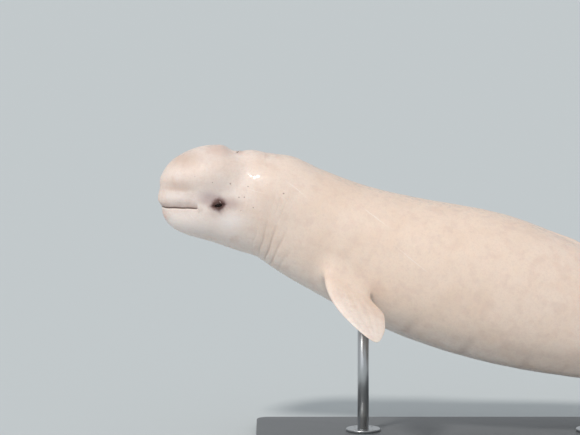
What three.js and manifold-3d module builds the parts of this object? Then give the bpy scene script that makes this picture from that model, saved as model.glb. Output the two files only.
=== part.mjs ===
// A beluga whale in life size, held up by a plain display stand, as a museum shows one.
//
// Millimetres. +X runs from the snout to the tail, +Y to the whale's right, and +Z is up.
// The origin is the centre of the stand's underside.
//
// The whale is worked out lying straight, as (along, side, high): along from the tip of the snout,
// high from the level of the upper jaw. The spine then bends each point into the pose, in which the
// head is held level, the neck turns down behind it and the tail levels out again.

import * as THREE from "three";
import { mergeVertices } from "three/addons/utils/BufferGeometryUtils.js";
import Module from "manifold-3d";

const wasm = await Module();
wasm.setup();

// Sizes of the pose and the body

const GAP = 0.3;
const RIGHT_ANGLE = Math.PI / 2;
const SPINE_STEP = 2;
const SPINE_LENGTH = 4300;

// Each bend of the spine: where it starts and ends, and how many degrees it turns down.
const SPINE_BENDS = [
  { from: 410, to: 790, turn: 27 },
  { from: 1080, to: 1600, turn: -9 },
  { from: 2300, to: 3100, turn: 4 },
  { from: 3350, to: 3950, turn: -16 },
];

// Sections through the body: the height of the back above the spine, the depth of the belly below
// it, and half the body's width.
const SECTIONS = [
  { along: 400, back: 185, belly: 305, halfWidth: 190 },
  { along: 650, back: 183, belly: 352, halfWidth: 208 },
  { along: 950, back: 203, belly: 374, halfWidth: 262 },
  { along: 1300, back: 280, belly: 385, halfWidth: 330 },
  { along: 1700, back: 330, belly: 388, halfWidth: 358 },
  { along: 2150, back: 305, belly: 340, halfWidth: 325 },
  { along: 2600, back: 235, belly: 250, halfWidth: 240 },
  { along: 3000, back: 175, belly: 170, halfWidth: 157 },
  { along: 3350, back: 128, belly: 115, halfWidth: 95 },
  { along: 3650, back: 90, belly: 78, halfWidth: 56 },
  { along: 3920, back: 52, belly: 46, halfWidth: 36 },
];

// The section is nearly an ellipse in the trunk, and sharpens above and below into the tail's keels.
const TRUNK_ROUNDNESS = 2.12;
const KEEL_ROUNDNESS = 1.8;
const KEEL = { from: 2400, to: 3300 };

// Sizes of the head

// The head is a few egg-shaped lumps that run softly into each other.
const MELON_FRONT = { centre: [151, 0, 46], radii: [136, 140, 125] };
const MELON_BACK = { centre: [275, 0, 75], radii: [152, 162, 148] };
const UPPER_JAW = { centre: [170, 0, -26], radii: [171, 128, 60] };
const LOWER_JAW = { centre: [211, 0, -106], radii: [190, 120, 99] };
const SKULL = { centre: [720, 0, -68], radii: [600, 205, 276] };
const MELON_BLEND = 100;
const LIP_FOLD_BLEND = 38;
const MOUTH_BLEND = 32;
const THROAT_BLEND = 100;
const NAPE_BLEND = 55;
const HEAD_REACH = 600;
const HALVINGS = 40;

// The swells and the crease of the skin over those lumps: the middle of each, how far it reaches, and
// how high it stands. One that lies off the middle is on both sides.
const SWELLS = [
  { part: "side of the melon", centre: [130, 140, 88], reach: [110, 60, 35], height: 4 },
  { part: "crease under the melon", centre: [105, 120, 31], reach: [85, 60, 22], height: -6.5 },
  { part: "upper lip", centre: [110, 115, -28], reach: [85, 60, 20], height: 3 },
  { part: "nape behind the blowhole", centre: [458, 0, 185], reach: [42, 110, 60], height: 13 },
];

// The rings of the snout fan out from this point, and behind it they stand upright.
const FAN = { along: 235, high: -86 };
const TRUNK_AXIS = { high: -30, from: 650, levelFrom: 2200, to: 3000 };
const HEAD_INTO_TRUNK = { from: 420, to: 620 };

const MOUTH_LINE = [
  { along: -60, high: -74 },
  { along: 30, high: -72 },
  { along: 110, high: -70 },
  { along: 197, high: -72 },
];
const JAW_FOOT = { along: 320, high: -360, halfWidth: 350 };
const LIP_GROOVE = { radius: 4, endFullness: 0.3, steps: 28, sides: 5 };

const EYE = { along: 297, high: -55, radius: 21, depth: 11, around: 18, down: 12 };
const EYELID = { halfLength: 22, halfHeight: 13.5, thickness: 6, lift: 2.5, steps: 24, sides: 8 };
const BLOWHOLE = { along: 394, halfWidth: 33, sweep: 13, radius: 6, endFullness: 0.7, steps: 14, sides: 8 };

// Sizes of the nodes that the body is parted into

const HEAD_END = 440;
const TRUNK_PARTS = [
  { name: "neck", from: 440, to: 800, steps: 9 },
  { name: "chest", from: 800, to: 1350, steps: 8 },
  { name: "abdomen", from: 1350, to: 1880, steps: 6 },
  { name: "loins", from: 1880, to: 2860, steps: 10 },
];
const TAIL_STOCK = { from: 2860, taperFrom: 3720, to: 3960, steps: 14 };
const HEAD_SIDES = 64;
const TRUNK_SIDES = 48;
const HEAD_FAN_STEPS = 24;
const HEAD_REAR_STEPS = 9;
const SIDE_GATHER = 0.35;

const DORSAL_RIDGE = {
  from: 1930,
  to: 2720,
  halfWidth: 15,
  height: 17,
  sunk: 2,
  endFullness: 0.6,
  knobs: 7,
  knobShare: 0.1,
  steps: 30,
  sides: 8,
};

// Sizes of the fins

// A fin's section is fuller in front. Its span runs from its root inside the body, at share 0, to
// its tip, at share 1.
const FOIL = { frontFullness: 1.22, rearFullness: 0.67 };
const FLIPPER = {
  root: [965, 140, -158],
  length: 570,
  direction: [0.5, 0.7, -0.51],
  frontHalf: 66,
  frontBulge: 28,
  backHalf: 60,
  backBulge: 85,
  backBulgeFrom: 0.2,
  rootThickness: 87,
  tipThickness: 17,
  tipRoundness: 5,
  curl: 55,
  curlFrom: 0.35,
  sweep: 50,
};
const FLUKE = {
  halfSpan: 490,
  leadRoot: 3560,
  leadSweep: 365,
  leadPower: 1.25,
  notch: 4000,
  trailBulge: 85,
  trailPower: 0.9,
  trailSweep: 20,
  rootThickness: 62,
  tipThickness: 12,
  tipFrom: 0.76,
  rise: 30,
};
const FIN_EDGE_SHARE = 0.15;
const FIN_SPAN_STEPS = 16;
const FIN_TIP_CROWDING = 1.6;
const FIN_SIDES = 20;

// Sizes of the stand

const BASE = { length: 2200, width: 800, thickness: 40, corner: 60, bevel: 4 };
const ROD = { radius: 28, sides: 28 };
const FOOT = { radius: 85, height: 14, bevel: 3, sides: 36 };
const ROD_PLACES = { front: 1010, rear: 2150 };
const BASE_CENTRE_ALONG = 1580;
const TAIL_ABOVE_FLOOR = 60;
const ROD_INTO_BODY = 150;

// Plain sums

function smoothStep(value) {
  const t = Math.min(Math.max(value, 0), 1);
  return t * t * (3 - 2 * t);
}

function mix(a, b, share) {
  return a + (b - a) * share;
}

function radians(degrees) {
  return (degrees * Math.PI) / 180;
}

// A smooth curve through the given places (a natural cubic spline), as a function.
function smoothCurve(places, heights) {
  const last = places.length - 1;
  const gaps = places.slice(1).map((place, i) => place - places[i]);
  const slopes = gaps.map((gap, i) => (heights[i + 1] - heights[i]) / gap);
  const factor = new Array(last + 1).fill(0);
  const bend = new Array(last + 1).fill(0);
  for (let i = 1; i < last; i++) {
    const pivot = 2 * (gaps[i - 1] + gaps[i]) - gaps[i - 1] * factor[i - 1];
    factor[i] = gaps[i] / pivot;
    bend[i] = (6 * (slopes[i] - slopes[i - 1]) - gaps[i - 1] * bend[i - 1]) / pivot;
  }
  for (let i = last - 1; i > 0; i--) {
    bend[i] -= factor[i] * bend[i + 1];
  }
  return (place) => {
    let i = 0;
    while (i < last - 1 && place > places[i + 1]) i++;
    const step = place - places[i];
    const slope = slopes[i] - (gaps[i] * (2 * bend[i] + bend[i + 1])) / 6;
    const twist = (bend[i + 1] - bend[i]) / (6 * gaps[i]);
    return heights[i] + step * (slope + step * (bend[i] / 2 + step * twist));
  };
}

// The distance at which a growing field turns positive.
function edgeOf(field, reach) {
  let inside = 0;
  let outside = reach;
  for (let i = 0; i < HALVINGS; i++) {
    const middle = (inside + outside) / 2;
    if (field(middle) < 0) inside = middle;
    else outside = middle;
  }
  return (inside + outside) / 2;
}

// The spine

const spine = [{ turn: 0, x: 0, z: 0 }];
for (let along = SPINE_STEP; along <= SPINE_LENGTH; along += SPINE_STEP) {
  const before = spine[spine.length - 1];
  let turn = 0;
  for (const bend of SPINE_BENDS) {
    turn += radians(bend.turn) * smoothStep((along - bend.from) / (bend.to - bend.from));
  }
  spine.push({
    turn,
    x: before.x + ((Math.cos(turn) + Math.cos(before.turn)) / 2) * SPINE_STEP,
    z: before.z - ((Math.sin(turn) + Math.sin(before.turn)) / 2) * SPINE_STEP,
  });
}

// Takes a point of the straight whale to its place in the pose.
function pose(along, side, high) {
  if (along <= 0) return new THREE.Vector3(along, side, high);
  const index = Math.floor(along / SPINE_STEP);
  const share = along / SPINE_STEP - index;
  const turn = mix(spine[index].turn, spine[index + 1].turn, share);
  const x = mix(spine[index].x, spine[index + 1].x, share);
  const z = mix(spine[index].z, spine[index + 1].z, share);
  return new THREE.Vector3(x + high * Math.sin(turn), side, z + high * Math.cos(turn));
}

// The surface of the head and body

function lumpDistance(point, lump) {
  const q = point.map((value, i) => (value - lump.centre[i]) / lump.radii[i]);
  const reach = Math.hypot(...q);
  const slope = Math.hypot(...q.map((value, i) => value / lump.radii[i]));
  return (reach * (reach - 1)) / slope;
}

function softly(a, b, width) {
  const near = Math.max(width - Math.abs(a - b), 0) / width;
  return Math.min(a, b) - (near * near * width) / 4;
}

// Negative inside the head, positive outside it.
function headField(point) {
  const melon = softly(lumpDistance(point, MELON_FRONT), lumpDistance(point, MELON_BACK), MELON_BLEND);
  const lowerJaw = lumpDistance(point, LOWER_JAW);
  const upperFace = softly(melon, lumpDistance(point, UPPER_JAW), LIP_FOLD_BLEND);
  const face = softly(upperFace, lowerJaw, MOUTH_BLEND);
  const skull = softly(lumpDistance(point, SKULL), lowerJaw, THROAT_BLEND);
  return softly(face, skull, NAPE_BLEND);
}

function swellAt(point) {
  let height = 0;
  for (const swell of SWELLS) {
    const place = [point[0], Math.abs(point[1]), point[2]];
    const off = place.map((value, i) => (value - swell.centre[i]) / swell.reach[i]);
    height += swell.height * Math.exp(-(Math.hypot(...off) ** 2));
  }
  return height;
}

const stations = SECTIONS.map((section) => section.along);
const backAt = smoothCurve(stations, SECTIONS.map((section) => section.back));
const bellyAt = smoothCurve(stations, SECTIONS.map((section) => section.belly));
const halfWidthAt = smoothCurve(stations, SECTIONS.map((section) => section.halfWidth));

// The height of the point in each section that the skin is measured from.
function axisHigh(along) {
  const rise = smoothStep((along - FAN.along) / (TRUNK_AXIS.from - FAN.along));
  const level = smoothStep((along - TRUNK_AXIS.levelFrom) / (TRUNK_AXIS.to - TRUNK_AXIS.levelFrom));
  return mix(FAN.high, TRUNK_AXIS.high * (1 - level), rise);
}

function trunkRadius(along, across, up) {
  const axis = axisHigh(along);
  const height = up > 0 ? backAt(along) - axis : bellyAt(along) + axis;
  const keel = smoothStep((along - KEEL.from) / (KEEL.to - KEEL.from));
  const power = mix(TRUNK_ROUNDNESS, KEEL_ROUNDNESS, keel);
  const sum = Math.abs(across / halfWidthAt(along)) ** power + Math.abs(up / height) ** power;
  return sum ** (-1 / power);
}

// The tail stock closes in a round end between the flukes.
function taperAt(along) {
  const share = Math.max((along - TAIL_STOCK.taperFrom) / (TAIL_STOCK.to - TAIL_STOCK.taperFrom), 0);
  return Math.sqrt(Math.max(1 - share ** 2, 0));
}

// A point of the skin of the straight whale. The fan angle is a right angle behind the snout, and
// the round angle starts on the whale's left and goes up.
function skinPoint(along, fanAngle, roundAngle, grow = 0) {
  const origin = [along, 0, axisHigh(along)];
  const across = -Math.cos(roundAngle);
  const up = Math.sin(roundAngle);
  const way = [-Math.cos(fanAngle), across * Math.sin(fanAngle), up * Math.sin(fanAngle)];
  const at = (distance) => origin.map((value, i) => value + way[i] * distance);
  const inTrunk = smoothStep(
    (along - HEAD_INTO_TRUNK.from) / (HEAD_INTO_TRUNK.to - HEAD_INTO_TRUNK.from),
  );
  let radius = 0;
  if (inTrunk < 1) radius += (1 - inTrunk) * edgeOf((t) => headField(at(t)), HEAD_REACH);
  if (inTrunk > 0) radius += inTrunk * trunkRadius(along, across, up) * taperAt(along);
  return at(radius + swellAt(at(radius)) + grow);
}

// The round angles of a section, closer together on the flanks, where the mouth and the eyes are.
function roundAngles(sides) {
  return Array.from({ length: sides }, (_, i) => {
    const even = (2 * Math.PI * i) / sides;
    return even - (SIDE_GATHER * Math.sin(2 * even)) / 2;
  });
}

function skinRing(along, fanAngle, sides, grow = 0) {
  return roundAngles(sides).map((angle) => pose(...skinPoint(along, fanAngle, angle, grow)));
}

// Meshes and solids

// A closed surface through rings of points. Each end is closed to a point: the given tip, or else
// the middle of the end ring. A fin's two faces are split into triangles alike.
function loft(rings, { startTip, endTip, alikeFaces = false } = {}) {
  const sides = rings[0].length;
  const middle = (ring) =>
    ring.reduce((sum, point) => sum.add(point), new THREE.Vector3()).divideScalar(ring.length);
  const points = [startTip ?? middle(rings[0]), ...rings.flat(), endTip ?? middle(rings.at(-1))];
  const at = (ring, side) => 1 + ring * sides + (side % sides);
  const triangles = [];
  for (let side = 0; side < sides; side++) {
    triangles.push([0, at(0, side + 1), at(0, side)]);
    triangles.push([points.length - 1, at(rings.length - 1, side), at(rings.length - 1, side + 1)]);
    for (let ring = 0; ring < rings.length - 1; ring++) {
      const near = [at(ring, side), at(ring, side + 1)];
      const far = [at(ring + 1, side), at(ring + 1, side + 1)];
      if (alikeFaces && side >= sides / 2) {
        triangles.push([near[0], near[1], far[0]], [far[0], near[1], far[1]]);
      } else {
        triangles.push([near[0], near[1], far[1]], [near[0], far[1], far[0]]);
      }
    }
  }
  return meshOf(points, triangles);
}

// A closed ring of rings, such as an eyelid.
function loopLoft(rings) {
  const sides = rings[0].length;
  const at = (ring, side) => (ring % rings.length) * sides + (side % sides);
  const triangles = [];
  for (let ring = 0; ring < rings.length; ring++) {
    for (let side = 0; side < sides; side++) {
      const near = [at(ring, side), at(ring, side + 1)];
      const far = [at(ring + 1, side), at(ring + 1, side + 1)];
      triangles.push([near[0], near[1], far[1]], [near[0], far[1], far[0]]);
    }
  }
  return meshOf(rings.flat(), triangles);
}

// A mesh whose triangles all face out.
function meshOf(points, triangles) {
  let volume = 0;
  for (const [a, b, c] of triangles) {
    volume += points[a].dot(new THREE.Vector3().crossVectors(points[b], points[c]));
  }
  const facing = volume > 0 ? triangles : triangles.map(([a, b, c]) => [a, c, b]);
  const geometry = new THREE.BufferGeometry().setFromPoints(points);
  geometry.setIndex(facing.flat());
  return geometry;
}

function solidOf(geometry) {
  const bare = geometry.clone();
  bare.deleteAttribute("normal");
  bare.deleteAttribute("uv");
  const merged = mergeVertices(bare);
  const vertProperties = new Float32Array(merged.attributes.position.array);
  const triVerts = new Uint32Array(merged.index.array);
  return new wasm.Manifold(new wasm.Mesh({ numProp: 3, vertProperties, triVerts }));
}

// The largest closed surface of a solid, as a geometry.
function geometryOf(solid) {
  const pieces = solid.decompose();
  const largest = pieces.reduce((best, piece) => (piece.volume() > best.volume() ? piece : best));
  const mesh = largest.getMesh();
  const geometry = new THREE.BufferGeometry();
  geometry.setAttribute("position", new THREE.BufferAttribute(mesh.vertProperties, 3));
  geometry.setIndex(new THREE.BufferAttribute(mesh.triVerts, 1));
  return geometry;
}

function join(first, ...others) {
  return others.reduce((sum, other) => sum.add(solidOf(other)), solidOf(first));
}

function cut(solid, ...cutters) {
  return cutters.reduce((rest, cutter) => rest.subtract(solidOf(cutter)), solid);
}

// A round bead along a path that lies in the skin, thin at both ends. The normals point out of it.
function bead(path, normals, radiusAt, sides, flatness = 1) {
  const rings = path.slice(1, -1).map((centre, i) => {
    const along = new THREE.Vector3().subVectors(path[i + 2], path[i]).normalize();
    const across = new THREE.Vector3().crossVectors(normals[i + 1], along).normalize();
    const out = new THREE.Vector3().crossVectors(along, across);
    const radius = radiusAt((i + 1) / (path.length - 1));
    return Array.from({ length: sides }, (_, side) => {
      const angle = (2 * Math.PI * side) / sides;
      return centre
        .clone()
        .addScaledVector(across, radius * Math.cos(angle))
        .addScaledVector(out, radius * flatness * Math.sin(angle));
    });
  });
  return loft(rings, { startTip: path[0], endTip: path.at(-1) });
}

// The head

function headNormal(point) {
  const step = 1;
  const slope = [0, 1, 2].map((axis) => {
    const ahead = point.map((value, i) => (i === axis ? value + step : value));
    const behind = point.map((value, i) => (i === axis ? value - step : value));
    return headField(ahead) - headField(behind);
  });
  return new THREE.Vector3(...slope).normalize();
}

function headSolid() {
  const rings = [];
  for (let step = 1; step <= HEAD_FAN_STEPS; step++) {
    rings.push(skinRing(FAN.along, radians((90 * step) / HEAD_FAN_STEPS), HEAD_SIDES));
  }
  const end = HEAD_END - GAP / 2;
  for (let step = 1; step <= HEAD_REAR_STEPS; step++) {
    rings.push(skinRing(mix(FAN.along, end, step / HEAD_REAR_STEPS), RIGHT_ANGLE, HEAD_SIDES));
  }
  return loft(rings, {
    startTip: pose(...skinPoint(FAN.along, 0, 0)),
    endTip: pose(end, 0, axisHigh(end)),
  });
}

function mouthHigh(along) {
  let i = 0;
  while (i < MOUTH_LINE.length - 2 && along > MOUTH_LINE[i + 1].along) i++;
  const [near, far] = [MOUTH_LINE[i], MOUTH_LINE[i + 1]];
  return mix(near.high, far.high, (along - near.along) / (far.along - near.along));
}

// The block of space that the lower jaw is cut from: under the line of the mouth, and in front of
// the line from the mouth's corner down to the throat.
function jawSpace(grow) {
  const outline = MOUTH_LINE.map((place) => new THREE.Vector2(place.along, place.high + grow));
  outline.at(-1).x += grow;
  outline.push(new THREE.Vector2(JAW_FOOT.along + grow, JAW_FOOT.high));
  outline.push(new THREE.Vector2(MOUTH_LINE[0].along, JAW_FOOT.high));
  const block = new THREE.ExtrudeGeometry(new THREE.Shape(outline), {
    depth: 2 * JAW_FOOT.halfWidth,
    bevelEnabled: false,
  });
  return block.rotateX(RIGHT_ANGLE).translate(0, JAW_FOOT.halfWidth, 0);
}

// The groove between the lips, from one corner of the mouth round the front to the other.
function lipGroove() {
  const { radius, endFullness, steps, sides } = LIP_GROOVE;
  const corner = MOUTH_LINE.at(-1).along;
  const halfTurn = RIGHT_ANGLE - Math.atan2(FAN.along - corner, LOWER_JAW.radii[1]);
  const path = [];
  const normals = [];
  for (let step = 0; step <= steps; step++) {
    const turn = mix(-halfTurn, halfTurn, step / steps);
    const at = (distance) => {
      const along = FAN.along - distance * Math.cos(turn);
      return [along, distance * Math.sin(turn), mouthHigh(along)];
    };
    const point = at(edgeOf((distance) => headField(at(distance)), HEAD_REACH));
    path.push(new THREE.Vector3(...point));
    normals.push(headNormal(point));
  }
  return bead(path, normals, (t) => radius * Math.sin(Math.PI * t) ** endFullness, sides);
}

// The blowhole: a crescent across the top of the head, with its ends forward.
function blowholeGroove() {
  const { radius, endFullness, steps, sides } = BLOWHOLE;
  const path = [];
  const normals = [];
  for (let step = 0; step <= steps; step++) {
    const share = mix(-1, 1, step / steps);
    const along = BLOWHOLE.along - BLOWHOLE.sweep * share ** 2;
    const at = (high) => [along, BLOWHOLE.halfWidth * share, high];
    const point = at(edgeOf((high) => headField(at(high)), HEAD_REACH));
    path.push(new THREE.Vector3(...point));
    normals.push(headNormal(point));
  }
  return bead(path, normals, (t) => radius * Math.sin(Math.PI * t) ** endFullness, sides);
}

// The point of the skin over the eye, the way out of the head there, and the eyeball's centre.
function eyePlace(side) {
  const at = (distance) => [EYE.along, side * distance, EYE.high];
  const point = at(edgeOf((distance) => headField(at(distance)), HEAD_REACH));
  const out = headNormal(point);
  const skin = new THREE.Vector3(...point);
  return { skin, out, centre: skin.clone().addScaledVector(out, -EYE.depth) };
}

function eyeball({ centre, out }, grow) {
  const ball = new THREE.SphereGeometry(EYE.radius + grow, EYE.around, EYE.down);
  const turn = new THREE.Quaternion().setFromUnitVectors(new THREE.Vector3(0, 1, 0), out);
  return ball.applyQuaternion(turn).translate(...centre);
}

// The rim of both lids, an oval bead round the opening that lies on the eyeball.
function eyelids({ skin, out }) {
  const { steps, sides } = EYELID;
  const up = new THREE.Vector3(0, 0, 1).projectOnPlane(out).normalize();
  const back = new THREE.Vector3().crossVectors(up, out).normalize();
  const rings = Array.from({ length: steps }, (_, step) => {
    const turn = (2 * Math.PI * step) / steps;
    const outward = back
      .clone()
      .multiplyScalar(Math.cos(turn) / EYELID.halfLength)
      .addScaledVector(up, Math.sin(turn) / EYELID.halfHeight)
      .normalize();
    const centre = skin
      .clone()
      .addScaledVector(back, EYELID.halfLength * Math.cos(turn))
      .addScaledVector(up, EYELID.halfHeight * Math.sin(turn))
      .addScaledVector(out, EYELID.lift * Math.sin(turn) ** 2);
    return Array.from({ length: sides }, (_, side) => {
      const angle = (2 * Math.PI * side) / sides;
      return centre
        .clone()
        .addScaledVector(outward, EYELID.thickness * Math.cos(angle))
        .addScaledVector(out, EYELID.thickness * Math.sin(angle));
    });
  });
  return loopLoft(rings);
}

// The trunk and the tail

function trunkRings({ from, to, steps }, grow = 0) {
  return Array.from({ length: steps + 1 }, (_, step) =>
    skinRing(mix(from + GAP / 2, to - GAP / 2, step / steps), RIGHT_ANGLE, TRUNK_SIDES, grow),
  );
}

function trunkPart(part, grow = 0) {
  return loft(trunkRings(part, grow), {
    startTip: pose(part.from + GAP / 2, 0, axisHigh(part.from)),
    endTip: pose(part.to - GAP / 2, 0, axisHigh(part.to)),
  });
}

// The low ridge that a beluga has in place of a back fin, with a row of small knobs.
function dorsalRidge() {
  const { from, to, halfWidth, height, sunk, endFullness, knobs, knobShare, steps, sides } = DORSAL_RIDGE;
  const path = [];
  const normals = [];
  for (let step = 0; step <= steps; step++) {
    const along = mix(from, to, step / steps);
    const foot = pose(along, 0, backAt(along) - sunk);
    path.push(foot);
    normals.push(pose(along, 0, backAt(along)).sub(foot).normalize());
  }
  const knob = (t) => 1 + knobShare * Math.cos(2 * Math.PI * knobs * t);
  const width = (t) => halfWidth * knob(t) * Math.sin(Math.PI * t) ** endFullness;
  return bead(path, normals, width, sides, height / halfWidth);
}

function tailStock(grow = 0) {
  const { from, taperFrom, to, steps } = TAIL_STOCK;
  const rings = [];
  for (let step = 0; step < steps; step++) {
    const share = step / steps;
    const along = mix(from + GAP / 2, to, 1 - (1 - share) ** 1.5);
    rings.push(skinRing(along, RIGHT_ANGLE, TRUNK_SIDES, grow));
  }
  return loft(rings, {
    startTip: pose(from + GAP / 2, 0, axisHigh(from)),
    endTip: pose(to + grow, 0, axisHigh(to)),
  });
}

// The fins

// A fin's section: its place along the chord and its height off it, at an angle round the edge.
function foil(front, back, thickness, angle) {
  const share = (1 - Math.cos(angle)) / 2;
  const fullness = mix(FOIL.frontFullness, FOIL.rearFullness, share);
  return {
    chord: mix(-front, back, share),
    height: (thickness / 2) * Math.sin(angle) * fullness,
  };
}

// A fin from its root to its tip, from a function that places each point of it.
function fin(place) {
  const rings = Array.from({ length: FIN_SPAN_STEPS }, (_, step) => {
    const share = 1 - (1 - step / FIN_SPAN_STEPS) ** FIN_TIP_CROWDING;
    return Array.from({ length: FIN_SIDES }, (_, i) => place(share, (2 * Math.PI * i) / FIN_SIDES));
  });
  return loft(rings, { endTip: place(1, 0), alikeFaces: true });
}

// The thickness of a fin, which thins evenly to the tip and then closes round it.
function finThickness(size, share, round) {
  return mix(size.rootThickness, size.tipThickness, share) * mix(FIN_EDGE_SHARE, 1, round);
}

// A broad paddle with a round end, its tip curled up.
function flipper(side) {
  const size = FLIPPER;
  const reach = new THREE.Vector3(...size.direction).normalize();
  const back = new THREE.Vector3(1, 0, 0).projectOnPlane(reach).normalize();
  const down = new THREE.Vector3().crossVectors(reach, back);
  return fin((share, angle) => {
    const round = Math.sqrt(1 - share ** size.tipRoundness);
    const swell = Math.max((share - size.backBulgeFrom) / (1 - size.backBulgeFrom), 0);
    const front = size.frontHalf + size.frontBulge * Math.sin(Math.PI * share);
    const rear = size.backHalf + size.backBulge * Math.sin(Math.PI * swell);
    const thickness = finThickness(size, share, round);
    const { chord, height } = foil(front * round, rear * round, thickness, angle);
    const curl = size.curl * smoothStep((share - size.curlFrom) / (1 - size.curlFrom));
    const point = new THREE.Vector3(...size.root)
      .addScaledVector(reach, share * size.length)
      .addScaledVector(back, chord + size.sweep * share ** 2)
      .addScaledVector(down, height - curl);
    return pose(point.x, side * point.y, point.z);
  });
}

// One half of the tail fin: swept in front, full behind, with a round tip.
function fluke(side) {
  const size = FLUKE;
  return fin((share, angle) => {
    const lead = size.leadRoot + size.leadSweep * share ** size.leadPower;
    const bulge = size.trailBulge * Math.sin(Math.PI * share) ** size.trailPower;
    const trail = size.notch + bulge + size.trailSweep * share;
    const toTip = Math.max((share - size.tipFrom) / (1 - size.tipFrom), 0);
    const round = Math.sqrt(1 - toTip ** 2);
    const half = ((trail - lead) / 2) * round;
    const { chord, height } = foil(half, half, finThickness(size, share, round), angle);
    const across = Math.max(share * size.halfSpan, GAP / 2);
    return pose((lead + trail) / 2 + chord, side * across, height + size.rise * share ** 2);
  });
}

// The stand

function standBase() {
  const { length, width, thickness, corner, bevel } = BASE;
  const x = length / 2 - bevel;
  const y = width / 2 - bevel;
  const outline = new THREE.Shape();
  outline.moveTo(-x + corner, -y);
  outline.lineTo(x - corner, -y);
  outline.absarc(x - corner, -y + corner, corner, -RIGHT_ANGLE, 0);
  outline.absarc(x - corner, y - corner, corner, 0, RIGHT_ANGLE);
  outline.absarc(-x + corner, y - corner, corner, RIGHT_ANGLE, Math.PI);
  outline.absarc(-x + corner, -y + corner, corner, Math.PI, 3 * RIGHT_ANGLE);
  const plate = new THREE.ExtrudeGeometry(outline, {
    depth: thickness - 2 * bevel,
    bevelThickness: bevel,
    bevelSize: bevel,
    bevelSegments: 1,
    curveSegments: 6,
  });
  return plate.translate(0, 0, bevel);
}

function lathe(profile, sides) {
  const outline = profile.map(([across, high]) => new THREE.Vector2(across, high));
  return new THREE.LatheGeometry(outline, sides).rotateX(RIGHT_ANGLE);
}

// The plate that a rod stands on, with its upper edge bevelled.
function rodFoot() {
  const { radius, height, bevel, sides } = FOOT;
  return lathe([[0, 0], [radius, 0], [radius, height - bevel], [radius - bevel, height], [0, height]], sides);
}

function standRod(height) {
  return lathe([[0, 0], [ROD.radius, 0], [ROD.radius, height], [0, height]], ROD.sides);
}

// Materials

function material(color, roughness, metalness = 0) {
  return new THREE.MeshStandardMaterial({ color, roughness, metalness });
}

const headSkin = material("#e9dcd4", 0.4);
const trunkSkin = material("#ead7c9", 0.4);
const finSkin = material("#d9c8bd", 0.4);
const eyeSurface = material("#3a2a28", 0.1);
const baseFinish = material("#8d8f91", 0.6);
const rodFinish = material("#c8cacc", 0.3, 1);

// The whole model

const whale = new THREE.Group();
const stand = new THREE.Group();

function addNode(parent, name, geometry, finish) {
  const mesh = new THREE.Mesh(geometry, finish.clone());
  mesh.name = name;
  parent.add(mesh);
}

const SIDES = [
  { name: "left", side: -1 },
  { name: "right", side: 1 },
];

const eyes = SIDES.map(({ name, side }) => ({ name, place: eyePlace(side) }));
const mouthGroove = lipGroove();
const headBlock = join(headSolid(), ...eyes.map(({ place }) => eyelids(place)));
const head = cut(
  headBlock,
  jawSpace(GAP / 2),
  mouthGroove,
  blowholeGroove(),
  ...eyes.map(({ place }) => eyeball(place, GAP)),
);
const lowerJaw = cut(headBlock.intersect(solidOf(jawSpace(-GAP / 2))), mouthGroove);
addNode(whale, "head", geometryOf(head), headSkin);
addNode(whale, "lower_jaw", geometryOf(lowerJaw), headSkin);
for (const { name, place } of eyes) {
  addNode(whale, `eye_${name}`, eyeball(place, 0), eyeSurface);
}

for (const part of TRUNK_PARTS) {
  let solid = solidOf(trunkPart(part));
  if (part.name === "loins") solid = solid.add(solidOf(dorsalRidge()));
  addNode(whale, part.name, geometryOf(solid), trunkSkin);
}
addNode(whale, "tail_stock", geometryOf(solidOf(tailStock())), trunkSkin);

const chest = TRUNK_PARTS.find((part) => part.name === "chest");
for (const { name, side } of SIDES) {
  const flipperSolid = cut(solidOf(flipper(side)), trunkPart(chest, GAP));
  addNode(whale, `flipper_${name}`, geometryOf(flipperSolid), finSkin);
  const flukeSolid = cut(solidOf(fluke(side)), tailStock(GAP));
  addNode(whale, `fluke_${name}`, geometryOf(flukeSolid), finSkin);
}

const lowest = Math.min(
  ...whale.children.map((mesh) => {
    mesh.geometry.computeBoundingBox();
    return mesh.geometry.boundingBox.min.z;
  }),
);
whale.position.set(-BASE_CENTRE_ALONG, 0, TAIL_ABOVE_FLOOR - lowest);

addNode(stand, "stand_base", standBase(), baseFinish);
const bodyAbove = TRUNK_PARTS.map((part) => trunkPart(part, GAP).translate(...whale.position));
for (const [name, along] of Object.entries(ROD_PLACES)) {
  const footFrom = BASE.thickness + GAP;
  const rodFrom = footFrom + FOOT.height + GAP;
  const place = along - BASE_CENTRE_ALONG;
  addNode(stand, `stand_foot_${name}`, rodFoot().translate(place, 0, footFrom), rodFinish);
  const rod = standRod(whale.position.z - ROD_INTO_BODY - rodFrom).translate(place, 0, rodFrom);
  addNode(stand, `stand_rod_${name}`, geometryOf(cut(solidOf(rod), ...bodyAbove)), rodFinish);
}

const group = new THREE.Group();
group.add(whale, stand);
export default group;
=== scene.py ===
import math

import bpy
import numpy as np
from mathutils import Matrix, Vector, noise
from mathutils.bvhtree import BVHTree


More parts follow.
